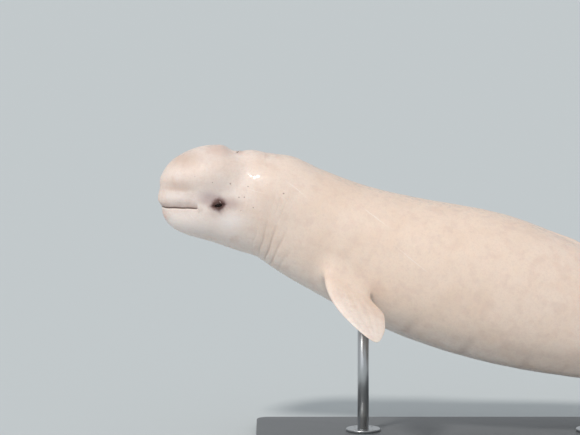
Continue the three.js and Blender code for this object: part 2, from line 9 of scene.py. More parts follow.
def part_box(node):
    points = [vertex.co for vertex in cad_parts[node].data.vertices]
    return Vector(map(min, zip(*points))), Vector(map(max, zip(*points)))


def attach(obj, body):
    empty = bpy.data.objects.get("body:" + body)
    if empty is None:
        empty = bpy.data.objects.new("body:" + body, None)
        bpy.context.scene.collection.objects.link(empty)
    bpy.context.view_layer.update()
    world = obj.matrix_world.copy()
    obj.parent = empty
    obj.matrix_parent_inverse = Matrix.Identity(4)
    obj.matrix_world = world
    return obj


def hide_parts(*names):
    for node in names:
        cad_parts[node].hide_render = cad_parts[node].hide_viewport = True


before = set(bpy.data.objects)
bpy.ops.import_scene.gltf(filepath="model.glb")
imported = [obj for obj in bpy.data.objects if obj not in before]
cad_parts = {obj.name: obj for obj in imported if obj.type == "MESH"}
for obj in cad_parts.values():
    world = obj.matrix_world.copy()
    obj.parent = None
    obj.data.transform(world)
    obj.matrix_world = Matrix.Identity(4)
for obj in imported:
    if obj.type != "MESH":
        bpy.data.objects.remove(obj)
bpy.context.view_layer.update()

scene = bpy.context.scene

# The view.
# The photograph looks at the whale's left side from a little above, through a long lens from far off.
# The camera stands there, and the eye comes to the same place in the picture.

VIEW_DOWN = math.radians(8)
VIEW_DISTANCE = 25.0
VIEW_REACH = 500.0
SENSOR_WIDTH = 36.0
PHOTO_SIZE_PX = (580, 435)
PHOTO_EYE_PX = (218.7, 205.4)
METRES_PER_PX = 0.0049


def middle_of(node):
    """The middle of a node's box."""
    low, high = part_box(node)
    return (low + high) / 2


view_way = Vector((0, math.cos(VIEW_DOWN), -math.sin(VIEW_DOWN)))
view_up = Vector((0, math.sin(VIEW_DOWN), math.cos(VIEW_DOWN)))
eye_from_middle = [(at - size / 2) * METRES_PER_PX for at, size in zip(PHOTO_EYE_PX, PHOTO_SIZE_PX)]
view_target = middle_of("eye_left") - Vector((eye_from_middle[0], 0, 0)) + view_up * eye_from_middle[1]

lens = bpy.data.cameras.new("photo_camera")
lens.sensor_width = SENSOR_WIDTH
lens.lens = SENSOR_WIDTH * VIEW_DISTANCE / (PHOTO_SIZE_PX[0] * METRES_PER_PX)
lens.clip_end = VIEW_REACH
camera = bpy.data.objects.new("photo_camera", lens)
camera.location = view_target - view_way * VIEW_DISTANCE
camera.rotation_euler = view_way.to_track_quat("-Z", "Y").to_euler()
scene.collection.objects.link(camera)
scene.camera = camera
scene.view_settings.view_transform = "Standard"

# The studio.
# A wide floor painted pale grey, which fills the picture behind the model. The main lamp stands high on
# the camera's left, a weaker and much broader one fills in from the front, and the pale room does the rest.

FLOOR_HALF = 150.0
FLOOR_PAINT = "#c3c9cb"
ROOM_LIGHT = "#e9eef2"
ROOM_STRENGTH = 0.68
LAMPS = {
    "key_lamp": {"energy": 1.70, "angle_deg": 8, "from": (-4.4, -6.5, 8.8), "colour": "#fffaf4"},
    "fill_lamp": {"energy": 0.42, "angle_deg": 60, "from": (-4.0, -8.0, 0.6), "colour": "#f4f7ff"},
}


def linear_colour(code):
    """An sRGB hex colour as the linear colour that a shader takes."""
    shares = [int(code[i : i + 2], 16) / 255 for i in (1, 3, 5)]
    linear = [s / 12.92 if s <= 0.04045 else ((s + 0.055) / 1.055) ** 2.4 for s in shares]
    return (*linear, 1.0)


def add_node(tree, kind, settings=None, inputs=None):
    """Adds a node with its settings, and sets or links its inputs. A colour mix takes its share in 0 and
    its colours in 6 and 7, and gives 2. A range is taken from 1 and 2 to 3 and 4."""
    node = tree.nodes.new("ShaderNode" + kind)
    for name, value in (settings or {}).items():
        setattr(node, name, value)
    for socket, value in (inputs or {}).items():
        if isinstance(value, bpy.types.NodeSocket):
            tree.links.new(value, node.inputs[socket])
        else:
            node.inputs[socket].default_value = value
    return node


def new_material(name, values):
    """A material with one Principled shader, and its node tree and that shader."""
    material = bpy.data.materials.new(name)
    material.use_nodes = True
    tree = material.node_tree
    shader = tree.nodes["Principled BSDF"]
    for socket, value in values.items():
        shader.inputs[socket].default_value = value
    return material, tree, shader


def mesh_object(name, points, faces, maps=None):
    """A smooth mesh object. maps holds each face's corners on the OFBake map."""
    mesh = bpy.data.meshes.new(name)
    mesh.from_pydata([tuple(point) for point in points], [], faces)
    if maps is not None:
        layer = mesh.uv_layers.new(name="OFBake")
        corners = np.array([corner for face in maps for corner in face], dtype=np.float32)
        layer.uv.foreach_set("vector", corners.ravel())
    mesh.shade_smooth()
    mesh.validate()
    thing = bpy.data.objects.new(name, mesh)
    scene.collection.objects.link(thing)
    return thing


floor_ways = [(-1, -1), (1, -1), (1, 1), (-1, 1)]
floor_corners = [(x * FLOOR_HALF, y * FLOOR_HALF, 0) for x, y in floor_ways]
floor = mesh_object("studio_floor", floor_corners, [(0, 1, 2, 3)])
# Flat emulsion paint: an even, pale grey with no shine.
floor_paint, tree, shader = new_material("floor_paint", {"Roughness": 0.85})
shader.inputs["Base Color"].default_value = linear_colour(FLOOR_PAINT)
floor.data.materials.append(floor_paint)

world = bpy.data.worlds.new("studio_room")
world.use_nodes = True
room = world.node_tree.nodes["Background"]
room.inputs["Color"].default_value = linear_colour(ROOM_LIGHT)
room.inputs["Strength"].default_value = ROOM_STRENGTH
scene.world = world

for name, lamp in LAMPS.items():
    light = bpy.data.lights.new(name, "SUN")
    light.energy = lamp["energy"]
    light.angle = math.radians(lamp["angle_deg"])
    light.color = linear_colour(lamp["colour"])[:3]
    light_stand = bpy.data.objects.new(name, light)
    light_stand.rotation_euler = Vector(lamp["from"]).to_track_quat("Z", "Y").to_euler()
    scene.collection.objects.link(light_stand)

# The whale's bare form.
# The body of a grown beluga, 4 m from the snout to the notch of the flukes, in the photograph's pose: the
# head is held level, the neck turns down behind it, and the tail levels out again. It is worked out
# lying straight, as (along, side, high) from the tip of the snout, and the spine bends it into the pose.

SPINE_STEP = 0.002
SPINE_LENGTH = 4.3
# Each bend of the spine: where it starts and ends, and how many degrees it turns down.
SPINE_BENDS = [(0.41, 0.79, 27), (1.08, 1.60, -9), (2.30, 3.10, 4), (3.35, 3.95, -16)]
# Sections through the body: along, back above the spine, belly below it, half width.
SECTIONS = np.array([
    (0.40, 0.185, 0.305, 0.190),
    (0.65, 0.183, 0.352, 0.208),
    (0.95, 0.203, 0.374, 0.262),
    (1.30, 0.280, 0.385, 0.330),
    (1.70, 0.330, 0.388, 0.358),
    (2.15, 0.305, 0.340, 0.325),
    (2.60, 0.235, 0.250, 0.240),
    (3.00, 0.175, 0.170, 0.157),
    (3.35, 0.128, 0.115, 0.095),
    (3.65, 0.090, 0.078, 0.056),
    (3.92, 0.052, 0.046, 0.036),
])
TRUNK_ROUNDNESS = 2.12
KEEL_ROUNDNESS = 1.8
KEEL = (2.40, 3.30)
TAIL_TAPER = (3.72, 3.96)

# The head is a few egg-shaped lumps that run softly into each other: the centre and radii of each.
MELON_FRONT = ((0.151, 0, 0.046), (0.136, 0.140, 0.125))
MELON_BACK = ((0.275, 0, 0.075), (0.152, 0.162, 0.148))
UPPER_JAW = ((0.170, 0, -0.026), (0.171, 0.128, 0.060))
LOWER_JAW = ((0.211, 0, -0.106), (0.190, 0.120, 0.099))
SKULL = ((0.720, 0, -0.068), (0.600, 0.205, 0.276))
MELON_BLEND = 0.100
LIP_FOLD_BLEND = 0.038
MOUTH_BLEND = 0.032
THROAT_BLEND = 0.100
NAPE_BLEND = 0.055
HEAD_REACH = 0.600
HALVINGS = 30
# Swells and the crease over those lumps: centre, reach, height. Off the middle, they are on both sides.
SWELLS = [
    ((0.130, 0.140, 0.088), (0.110, 0.060, 0.035), 0.0040),
    ((0.105, 0.120, 0.031), (0.085, 0.060, 0.022), -0.0065),
    ((0.110, 0.115, -0.028), (0.085, 0.060, 0.020), 0.0030),
    ((0.458, 0.000, 0.185), (0.042, 0.110, 0.060), 0.0130),
    ((0.015, 0.000, 0.042), (0.060, 0.110, 0.040), 0.0100),
    ((0.018, 0.000, -0.056), (0.060, 0.110, 0.020), 0.0125),
    ((0.050, 0.000, -0.150), (0.060, 0.120, 0.045), -0.0080),
    ((0.380, 0.110, 0.125), (0.050, 0.050, 0.050), 0.0100),
    ((0.020, 0.000, -0.115), (0.050, 0.120, 0.050), -0.0090),
    ((0.316, 0.000, 0.200), (0.030, 0.100, 0.050), 0.0060),
    ((0.422, 0.000, 0.180), (0.040, 0.100, 0.060), 0.0135),
    ((0.612, 0.000, 0.180), (0.052, 0.120, 0.070), 0.0105),
    ((0.725, 0.000, 0.180), (0.050, 0.130, 0.070), -0.0040),
    ((1.120, 0.000, 0.250), (0.220, 0.200, 0.120), 0.0060),
    ((1.720, 0.000, 0.330), (0.360, 0.260, 0.150), 0.0095),
]
# The rings of the snout fan out from this point, and behind it they stand upright.
FAN_ALONG = 0.235
FAN_HIGH = -0.0800
TRUNK_AXIS_HIGH = -0.030
AXIS_RISES = (0.235, 0.650)
AXIS_LEVELS = (2.20, 3.00)
HEAD_INTO_TRUNK = (0.42, 0.62)


def smooth(value):
    """Goes softly from 0 to 1 as the value does."""
    share = np.clip(value, 0, 1)
    return share * share * (3 - 2 * share)


def smooth_between(value, limits):
    return smooth((value - limits[0]) / (limits[1] - limits[0]))


def bell(off, width):
    return np.exp(-((off / width) ** 2))


def mix(a, b, share):
    return a + (b - a) * share


def smooth_curve(places, heights):
    """A natural cubic spline through the given places, as a function."""
    gaps = np.diff(places)
    slopes = np.diff(heights) / gaps
    count = len(places)
    rows = np.eye(count)
    right = np.zeros(count)
    for i in range(1, count - 1):
        rows[i, i - 1 : i + 2] = gaps[i - 1], 2 * (gaps[i - 1] + gaps[i]), gaps[i]
        right[i] = 6 * (slopes[i] - slopes[i - 1])
    bend = np.linalg.solve(rows, right)

    def height_at(place):
        i = np.clip(np.searchsorted(places, place) - 1, 0, count - 2)
        step = place - places[i]
        slope = slopes[i] - gaps[i] * (2 * bend[i] + bend[i + 1]) / 6
        twist = (bend[i + 1] - bend[i]) / (6 * gaps[i])
        return heights[i] + step * (slope + step * (bend[i] / 2 + step * twist))

    return height_at


back_at, belly_at, half_width_at = [smooth_curve(SECTIONS[:, 0], SECTIONS[:, i]) for i in (1, 2, 3)]


def run_up(slopes):
    """The sum of slopes along the spine, from 0."""
    return np.concatenate([[0], np.cumsum((slopes[1:] + slopes[:-1]) / 2 * SPINE_STEP)])


spine_places = np.arange(0, SPINE_LENGTH + SPINE_STEP, SPINE_STEP)
spine_turn = np.zeros(len(spine_places))
for start, end, turn_deg in SPINE_BENDS:
    spine_turn += math.radians(turn_deg) * smooth_between(spine_places, (start, end))
spine_x = run_up(np.cos(spine_turn))
spine_z = -run_up(np.sin(spine_turn))


def bend_with_spine(points):
    """Takes points of the straight whale into the pose."""
    along, side, high = points.T
    turn = np.interp(along, spine_places, spine_turn)
    x = np.where(along < 0, along, np.interp(along, spine_places, spine_x))
    z = np.interp(along, spine_places, spine_z)
    return np.column_stack([x + high * np.sin(turn), side, z + high * np.cos(turn)])


def lump_distance(points, lump):
    centre, radii = lump
    shares = (points - centre) / radii
    reach = np.linalg.norm(shares, axis=1)
    slope = np.linalg.norm(shares / radii, axis=1)
    return reach * (reach - 1) / np.maximum(slope, 1e-9)


def softly(a, b, width):
    """The smaller of two distances, with the step between them rounded."""
    near = np.maximum(width - np.abs(a - b), 0) / width
    return np.minimum(a, b) - near * near * width / 4


def head_field(points):
    """Negative inside the head, and positive outside it."""
    melon = softly(lump_distance(points, MELON_FRONT), lump_distance(points, MELON_BACK), MELON_BLEND)
    lower_jaw = lump_distance(points, LOWER_JAW)
    upper_face = softly(melon, lump_distance(points, UPPER_JAW), LIP_FOLD_BLEND)
    face = softly(upper_face, lower_jaw, MOUTH_BLEND)
    skull = softly(lump_distance(points, SKULL), lower_jaw, THROAT_BLEND)
    return softly(face, skull, NAPE_BLEND)


def head_reach(origins, ways, low=0.0, high=HEAD_REACH):
    """How far the head's surface lies from each origin, along each way."""
    inside = np.full(len(origins), low)
    outside = np.full(len(origins), high)
    for _ in range(HALVINGS):
        middle = (inside + outside) / 2
        is_in = head_field(origins + ways * middle[:, None]) < 0
        inside = np.where(is_in, middle, inside)
        outside = np.where(is_in, outside, middle)
    return (inside + outside) / 2


def head_slope(points, step=0.001):
    """The way straight out of the head at each point."""
    slopes = []
    for axis in np.eye(3) * step:
        slopes.append(head_field(points + axis) - head_field(points - axis))
    slope = np.column_stack(slopes)
    return slope / np.linalg.norm(slope, axis=1)[:, None]


def swell(points):
    height = np.zeros(len(points))
    places = np.column_stack([points[:, 0], np.abs(points[:, 1]), points[:, 2]])
    for centre, reach, tall in SWELLS:
        height += tall * bell(np.linalg.norm((places - centre) / reach, axis=1), 1)
    return height


def axis_high(along):
    """The height of the point in each section that the skin is measured from."""
    rise = smooth_between(along, AXIS_RISES)
    return mix(FAN_HIGH, TRUNK_AXIS_HIGH * (1 - smooth_between(along, AXIS_LEVELS)), rise)


def trunk_reach(along, across, up):
    axis = axis_high(along)
    height = np.where(up > 0, back_at(along) - axis, belly_at(along) + axis)
    power = mix(TRUNK_ROUNDNESS, KEEL_ROUNDNESS, smooth_between(along, KEEL))
    total = np.abs(across / half_width_at(along)) ** power + np.abs(up / height) ** power
    taper = np.maximum((along - TAIL_TAPER[0]) / (TAIL_TAPER[1] - TAIL_TAPER[0]), 0)
    return total ** (-1 / power) * np.sqrt(np.maximum(1 - taper**2, 0))


def bare_skin(along, fan, turn):
    """Points of the straight whale. The fan angle is a right angle behind the snout, and the turn
    goes round the body from the belly by the whale's left."""
    across = np.sin(turn)
    up = -np.cos(turn)
    ways = np.column_stack([-np.cos(fan), -across * np.sin(fan), up * np.sin(fan)])
    origins = np.column_stack([along, np.zeros(len(along)), axis_high(along)])
    in_trunk = smooth_between(along, HEAD_INTO_TRUNK)
    reach = np.zeros(len(along))
    head = in_trunk < 1
    reach[head] += (1 - in_trunk[head]) * head_reach(origins[head], ways[head])
    trunk = in_trunk > 0
    reach[trunk] += in_trunk[trunk] * trunk_reach(along[trunk], ways[trunk, 1], ways[trunk, 2])
    points = origins + ways * reach[:, None]
    return points + ways * swell(points)[:, None]


# The rings of the skin.
# Rings of points go round the body, closest together on the face, and closest in each ring on the
# flanks, where the mouth and the eyes are, and on the crown, where the blowhole is. Behind the neck and
# again before the tail, every second point is left out.

SNOUT_TIP_DEG = 13.0
SNOUT_TIP_STEP_DEG = 0.32
SNOUT_STEP_DEG = 0.80
ROW_STEP = np.array([
    (0.235, 0.0028),
    (0.350, 0.0028),
    (0.368, 0.0015),
    (0.402, 0.0015),
    (0.425, 0.0030),
    (0.800, 0.0050),
    (1.100, 0.0095),
    (3.600, 0.0095),
    (3.900, 0.0045),
    (3.960, 0.0020),
])
ROUND_COUNT = 384
ROUND_SAMPLES = 4000
HALVED_FROM = (0.80, 3.30)
FLANK_CROWDING = (1.9, math.radians(17))
CROWN_CROWDING = (0.9, math.radians(16))
BODY_MAP = (0.14, 1.0)
# The line of the mouth as (along, high), and how high its slight wave is, how long, and where it starts.
MOUTH_LINE = np.array([(-0.060, -0.081), (0.005, -0.080), (0.040, -0.077), (0.110, -0.0725), (0.197, -0.072)])
MOUTH_WAVE = (0.0008, 0.070, 0.6)
MOUTH_FAN_DEG = (2, 9)
MOUTH_FADES = (0.200, 0.280)
MOUTH_SEARCH_DEG = (60, 125)
MOUTH_PULL = math.radians(15)


def ring_turns():
    """The turns of the points of a ring, from the belly round and up the whale's left."""
    fine = np.linspace(0, 2 * math.pi, ROUND_SAMPLES)
    crowding = np.ones(len(fine))
    for place, (most, width) in (
        (math.pi / 2, FLANK_CROWDING),
        (3 * math.pi / 2, FLANK_CROWDING),
        (math.pi, CROWN_CROWDING),
    ):
        crowding += most * bell(fine - place, width)
    shares = np.concatenate([[0], np.cumsum((crowding[1:] + crowding[:-1]) / 2)])
    return np.interp(np.arange(ROUND_COUNT) / ROUND_COUNT * shares[-1], shares, fine)


def mouth_gap(points):
    """The height over the line of the mouth."""
    tall, long, start = MOUTH_WAVE
    line = np.interp(points[:, 0], MOUTH_LINE[:, 0], MOUTH_LINE[:, 1])
    return points[:, 2] - line - tall * np.sin(points[:, 0] / long * 2 * math.pi + start)


def turn_at_mouth(along, fan):
    """The turn at which each ring meets the line of the mouth on the whale's left."""
    low, high = [np.full(len(along), math.radians(angle)) for angle in MOUTH_SEARCH_DEG]
    for _ in range(HALVINGS):
        middle = (low + high) / 2
        is_above = mouth_gap(bare_skin(along, fan, middle)) > 0
        low = np.where(is_above, low, middle)
        high = np.where(is_above, middle, high)
    return (low + high) / 2


turns = ring_turns()
ring_places = []
fan_deg = SNOUT_TIP_STEP_DEG
while fan_deg < 90 - SNOUT_STEP_DEG / 2:
    ring_places.append((FAN_ALONG, math.radians(fan_deg)))
    fan_deg += SNOUT_TIP_STEP_DEG if fan_deg < SNOUT_TIP_DEG else SNOUT_STEP_DEG
ring_along = FAN_ALONG
while ring_along < TAIL_TAPER[1] - ROW_STEP[-1, 1] / 2:
    ring_places.append((ring_along, math.pi / 2))
    ring_along += np.interp(ring_along, ROW_STEP[:, 0], ROW_STEP[:, 1])

ring_every = [2 ** sum(along >= place for place in HALVED_FROM) for along, _ in ring_places]
ring_start = np.concatenate([[0], np.cumsum([ROUND_COUNT // every for every in ring_every])])
ring_alongs, ring_fans = np.array(ring_places).T
# On each flank, one line of points is drawn on to the mouth.
pull = turn_at_mouth(ring_alongs, ring_fans) - turns[np.argmin(np.abs(turns - math.pi / 2))]
pull *= smooth_between(np.degrees(ring_fans), MOUTH_FAN_DEG) * (1 - smooth_between(ring_alongs, MOUTH_FADES))
pull_share = bell(turns - math.pi / 2, MOUTH_PULL) - bell(turns - 3 * math.pi / 2, MOUTH_PULL)
point_counts = [ROUND_COUNT // every for every in ring_every]
body_points = bare_skin(
    np.repeat(ring_alongs, point_counts),
    np.repeat(ring_fans, point_counts),
    np.concatenate([(turns + shift * pull_share)[::every] for every, shift in zip(ring_every, pull)]),
)
snout_tip = bare_skin(np.array([FAN_ALONG]), np.zeros(1), np.zeros(1))
tail_end = np.array([[TAIL_TAPER[1], 0, axis_high(TAIL_TAPER[1])]])
body_points = np.vstack([body_points, snout_tip, tail_end])
SNOUT_TIP, TAIL_END = len(body_points) - 2, len(body_points) - 1


def ring_vertex(ring, place):
    """The vertex of a ring at a place counted in the finest steps round it."""
    return int(ring_start[ring] + (place % ROUND_COUNT) // ring_every[ring])


def ring_map(ring, place):
    """The place of a ring's vertex on the OFBake map, which spends most of its room on the face."""
    return (place / ROUND_COUNT, mix(*BODY_MAP, (ring + 1) / (len(ring_places) + 1)))


body_faces = []
body_maps = []
for place in range(ROUND_COUNT):
    body_faces.append((SNOUT_TIP, ring_vertex(0, place), ring_vertex(0, place + 1)))
    body_maps.append((ring_map(-1, place + 0.5), ring_map(0, place), ring_map(0, place + 1)))
last = len(ring_places) - 1
for place in range(0, ROUND_COUNT, ring_every[last]):
    after = place + ring_every[last]
    body_faces.append((TAIL_END, ring_vertex(last, after), ring_vertex(last, place)))
    body_maps.append((ring_map(last + 1, place), ring_map(last, after), ring_map(last, place)))
for ring in range(last):
    step = ring_every[ring + 1]
    for place in range(0, ROUND_COUNT, step):
        near = range(place + step, place - 1, -ring_every[ring])
        corners = [(ring + 1, place), (ring + 1, place + step)] + [(ring, at) for at in near]
        body_faces.append(tuple(ring_vertex(*corner) for corner in corners))
        body_maps.append(tuple(ring_map(*corner) for corner in corners))

# The lids.
# A beluga's eye is small, and thick lids lie round it in soft folds. The skin is left open round each
# eye, and finer rings close in over the folds and the rim of the lids into the socket.

EYE_ALONG = 0.297
EYE_HIGH = -0.055
EYE_TILT = math.radians(9)
EYEBALL_RADIUS = 0.0205
EYEBALL_DEPTH = 0.013
OPENING_HALF = (0.0185, 0.0076)
OPENING_POWER = 1.75
LID_PATCH_RADIUS = 0.058
LID_PATCH_DEPTH = 0.060
LID_RINGS = 50
LID_RING_CROWDING = 1.5
LID_ROUND_BY = 6
LID_EVEN = (2, 36)
LID_PATCH_INNER = 0.054
LID_OVER_EYE = 0.0026
LID_MOUND = 0.018
LID_BROW = 0.0008
# The rim of the lids, from its crown inward: distance outside the opening, and height over the crown.
LID_RIM = [
    (0.0032, 0.0000),
    (0.0024, 0.0004),
    (0.0016, 0.0005),
    (0.0009, 0.0003),
    (0.0003, -0.0003),
    (0.0000, -0.0009),
]
SOCKET_RINGS = 12
SOCKET_OUT = 0.0004
SOCKET_TUCK = 0.0002
# Folds round the lids: distance outside the opening, depth and half width.
LID_FOLDS = [
    (0.0062, 0.0013, 0.0014),
    (0.0108, 0.0009, 0.0017),
    (0.0165, 0.0006, 0.0020),
    (0.0240, 0.0003, 0.0026),
]
# How the folds wander in and out: how far, how often round the eye, and where each wave starts.
LID_FOLD_WAVES = [(0.0011, 3, 1), (0.0007, 7, 0)]
# How they fade here and there: to what share, how often round the eye, where it starts, and how far it
# is shifted from fold to fold.
LID_FOLD_FADES = {"least": 0.5, "times": 2, "start": 0.9, "shift": 2}
# Fine wrinkles that run out from the lids.
LID_RAYS = {"count": 23, "depth": 0.0009, "middle": 0.015, "reach": 0.014, "sharpness": 3}
# They sway, so that no two are alike: how strongly, how often round the eye, and where each sway starts.
LID_RAY_SWAYS = [(3, 2, 0), (1.6, 5, 2)]
LID_RAY_LEAN = 110
# How they fade here and there: to what share, how often round the eye, and how fast outward.
LID_RAY_FADES = {"least": 0.4, "times": 4, "outward": 180}
# The measures round an eye reach this far from the point of the skin over it.
EYE_SURROUND = 0.05


def unit(vector):
    return vector / np.linalg.norm(vector)


def eye_frame(side):
    """The point of the skin over the eye, and the ways out of it, back along the lids and up across."""
    start = np.array([[EYE_ALONG, 0, EYE_HIGH]])
    way = np.array([[0, float(side), 0]])
    skin = (start + way * head_reach(start, way)[:, None])[0]
    out = head_slope(skin[None])[0]
    level = unit(np.array([1.0, 0, 0]) - out * out[0])
    upright = unit(np.array([0, 0, 1.0]) - out * out[2] - level * level[2])
    back = level * math.cos(EYE_TILT) + upright * math.sin(EYE_TILT)
    up = upright * math.cos(EYE_TILT) - level * math.sin(EYE_TILT)
    return skin, out, back, up


def opening_reach(turn):
    """The distance from the middle of the opening between the lids to its edge."""
    along = np.abs(np.cos(turn)) / OPENING_HALF[0]
    across = np.abs(np.sin(turn)) / OPENING_HALF[1]
    return (along**OPENING_POWER + across**OPENING_POWER) ** (-1 / OPENING_POWER)


def wave(angle):
    """Goes from 0 to 1 and back as the angle turns."""
    return 0.5 + 0.5 * np.sin(angle)


def lid_fold_depth(outside, turn):
    """The depth of the folds round the lids, and of the wrinkles that run out from them."""
    wander = sum(far * np.sin(count * turn + start) for far, count, start in LID_FOLD_WAVES)
    depth = np.zeros(len(outside))
    for i, (place, deep, width) in enumerate(LID_FOLDS):
        fading = wave(LID_FOLD_FADES["times"] * turn + LID_FOLD_FADES["start"] + LID_FOLD_FADES["shift"] * i)
        share = mix(LID_FOLD_FADES["least"], 1, fading)
        depth += deep * share * bell(outside - place - wander * (1 + i / 2), width)
    ray_reach = bell(outside - LID_RAYS["middle"], LID_RAYS["reach"])
    sway = sum(far * np.sin(count * turn + start) for far, count, start in LID_RAY_SWAYS)
    rays = wave(LID_RAYS["count"] * turn + (sway + LID_RAY_LEAN * outside))
    fading = wave(LID_RAY_FADES["times"] * turn + LID_RAY_FADES["outward"] * outside)
    rays = rays * mix(LID_RAY_FADES["least"], 1, fading)
    return depth + LID_RAYS["depth"] * ray_reach * rays ** LID_RAYS["sharpness"]


def at_eye(points):
    """How far points lie outside the opening between the lids, and their turn round it."""
    skin, out, back, up = eye_frames[-1]
    off = np.column_stack([points[:, 0], -np.abs(points[:, 1]), points[:, 2]]) - skin
    along, across, depth = off @ back, off @ up, off @ out
    turn = np.arctan2(across, along)
    outside = np.hypot(along, across) - opening_reach(turn)
    return np.where(np.abs(depth) < EYE_SURROUND, outside, 1.0), turn


def border_of(faces):
    """The corners round a patch of faces, in the order that the faces run."""
    edges = {(a, b) for face in faces for a, b in zip(face, face[1:] + face[:1])}
    after = {a: b for a, b in edges if (b, a) not in edges}
    loop = [next(iter(after))]
    while after[loop[-1]] != loop[0]:
        loop.append(after[loop[-1]])
    return loop


def add_ring(points, maps):
    """Adds a ring of points to the body, and returns their numbers."""
    first = len(vertex_maps)
    new_points.append(points)
    vertex_maps.extend(maps)
    return list(range(first, first + len(points)))


def join_rings(outer, inner):
    for i in range(len(outer)):
        j = (i + 1) % len(outer)
        face = (outer[i], outer[j], inner[j], inner[i])
        body_faces.append(face)
        body_maps.append(tuple(vertex_maps[corner] for corner in face))


def lid_patch(side):
    """Fills the gap in the skin round one eye with the folds, the lids and the socket."""
    skin, out, back, up = eye_frames[side]
    border = border_of(gap_faces[side])
    off = body_points[border] - skin
    border_turn = np.unwrap(np.arctan2(off @ up, off @ back))
    border_reach = np.hypot(off @ up, off @ back)
    round_way = math.copysign(2 * math.pi, border_turn[-1] - border_turn[0])
    even_turn = border_turn[0] + round_way * np.arange(len(border)) / len(border)
    even_turn += np.mean(border_turn - even_turn)

    middle_map = np.mean([vertex_maps[corner] for corner in border], axis=0)
    ring_total = LID_RINGS + len(LID_RIM) + SOCKET_RINGS
    ring_count = 0
    outer = border
    border_maps = np.array([vertex_maps[corner] for corner in border])

    def next_ring(points):
        nonlocal ring_count, outer
        ring_count += 1
        share = 1 - ring_count / (ring_total + 1)
        inner = add_ring(points, [tuple(pair) for pair in mix(middle_map, border_maps, share)])
        join_rings(outer, inner)
        outer = inner

    def on_plane(turn, reach, height):
        along = np.outer(np.cos(turn) * reach, back)
        across = np.outer(np.sin(turn) * reach, up)
        return skin + along + across + np.outer(height, out)

    def skin_height(turn, reach):
        """How high the bare skin lies over the plane through the eye."""
        low = on_plane(turn, reach, np.full(len(turn), -LID_PATCH_DEPTH))
        return head_reach(low, np.tile(out, (len(turn), 1)), 0, 2 * LID_PATCH_DEPTH) - LID_PATCH_DEPTH

    def crown_height(turn):
        ball = np.sqrt((EYEBALL_RADIUS + LID_OVER_EYE) ** 2 - opening_reach(turn) ** 2)
        brow = LID_BROW * np.maximum(np.sin(turn), 0)
        return ball - EYEBALL_DEPTH + brow

    crown_outside = LID_RIM[0][0]
    mound = crown_height(even_turn) - skin_height(even_turn, opening_reach(even_turn) + crown_outside)
    for ring in range(1, LID_RINGS):
        turn = mix(border_turn, even_turn, smooth_between(ring, LID_EVEN))
        edge = opening_reach(turn) + crown_outside
        outer_reach = mix(border_reach, LID_PATCH_INNER, smooth(ring / LID_ROUND_BY))
        reach = mix(edge, outer_reach, (1 - ring / LID_RINGS) ** LID_RING_CROWDING)
        outside = reach - edge + crown_outside
        height = skin_height(turn, reach)
        height += mound * bell(reach - edge, LID_MOUND) - lid_fold_depth(outside, turn)
        next_ring(on_plane(turn, reach, height))
    for outside, over in LID_RIM:
        next_ring(on_plane(even_turn, opening_reach(even_turn) + outside, crown_height(even_turn) + over))
    socket_radius = EYEBALL_RADIUS + SOCKET_OUT
    rim_angle = np.arcsin((opening_reach(even_turn) - SOCKET_TUCK) / socket_radius)
    for ring in range(SOCKET_RINGS):
        angle = mix(rim_angle, math.pi, ring / SOCKET_RINGS)
        reach = socket_radius * np.sin(angle)
        next_ring(on_plane(even_turn, reach, socket_radius * np.cos(angle) - EYEBALL_DEPTH))
    pole_point = on_plane(np.zeros(1), np.zeros(1), np.array([-socket_radius - EYEBALL_DEPTH]))
    pole = add_ring(pole_point, [tuple(middle_map)])
    join_rings(outer, pole * len(outer))


eye_frames = {side: eye_frame(side) for side in (-1, 1)}
vertex_maps = []
for ring, every in enumerate(ring_every):
    vertex_maps += [ring_map(ring, place) for place in range(0, ROUND_COUNT, every)]
vertex_maps += [ring_map(-1, 0), ring_map(len(ring_places), 0)]
new_points = []
gap_faces = {}
for side in (-1, 1):
    near = np.linalg.norm(body_points - eye_frames[side][0], axis=1) < LID_PATCH_RADIUS
    in_gap = [any(near[corner] for corner in face) for face in body_faces]
    gap_faces[side] = [face for face, gone in zip(body_faces, in_gap) if gone]
    body_maps = [corners for corners, gone in zip(body_maps, in_gap) if not gone]
    body_faces = [face for face, gone in zip(body_faces, in_gap) if not gone]
for side in (-1, 1):
    lid_patch(side)
body_points = np.vstack([body_points] + new_points)
body_faces = [tuple(dict.fromkeys(face)) for face in body_faces]
body_maps = [corners[: len(face)] for corners, face in zip(body_maps, body_faces)]

# Folds, lips and creases.
# The skin is thick and soft over a layer of fat. It opens at the mouth and the blowhole, folds where
# the neck turns, rolls along the belly, and rises in a low, knobbly ridge in place of a back fin.

MOUTH_ENDS = (0.172, 0.203)
MOUTH_VALLEY = (0.0024, 0.018, 0.008)
MOUTH_SLIT = (0.0060, 0.0023)
# Rolls of the lips: height over the mouth line, thickness and half width.
LIPS = [(-0.0080, 0.0006, 0.0050), (0.0065, 0.0006, 0.0045)]
# The slit of the blowhole curves forward to its ends and fades between these shares of its half width.
BLOWHOLE = {"along": 0.394, "half_width": 0.033, "sweep": 0.013, "depth": 0.012, "slit": 0.0021}
BLOWHOLE_FADES = (0.45, 1.05)
BLOWHOLE_SWEEP_TO = 1.3
BLOWHOLE_LIP = (0.0085, 0.0030, 0.0060)
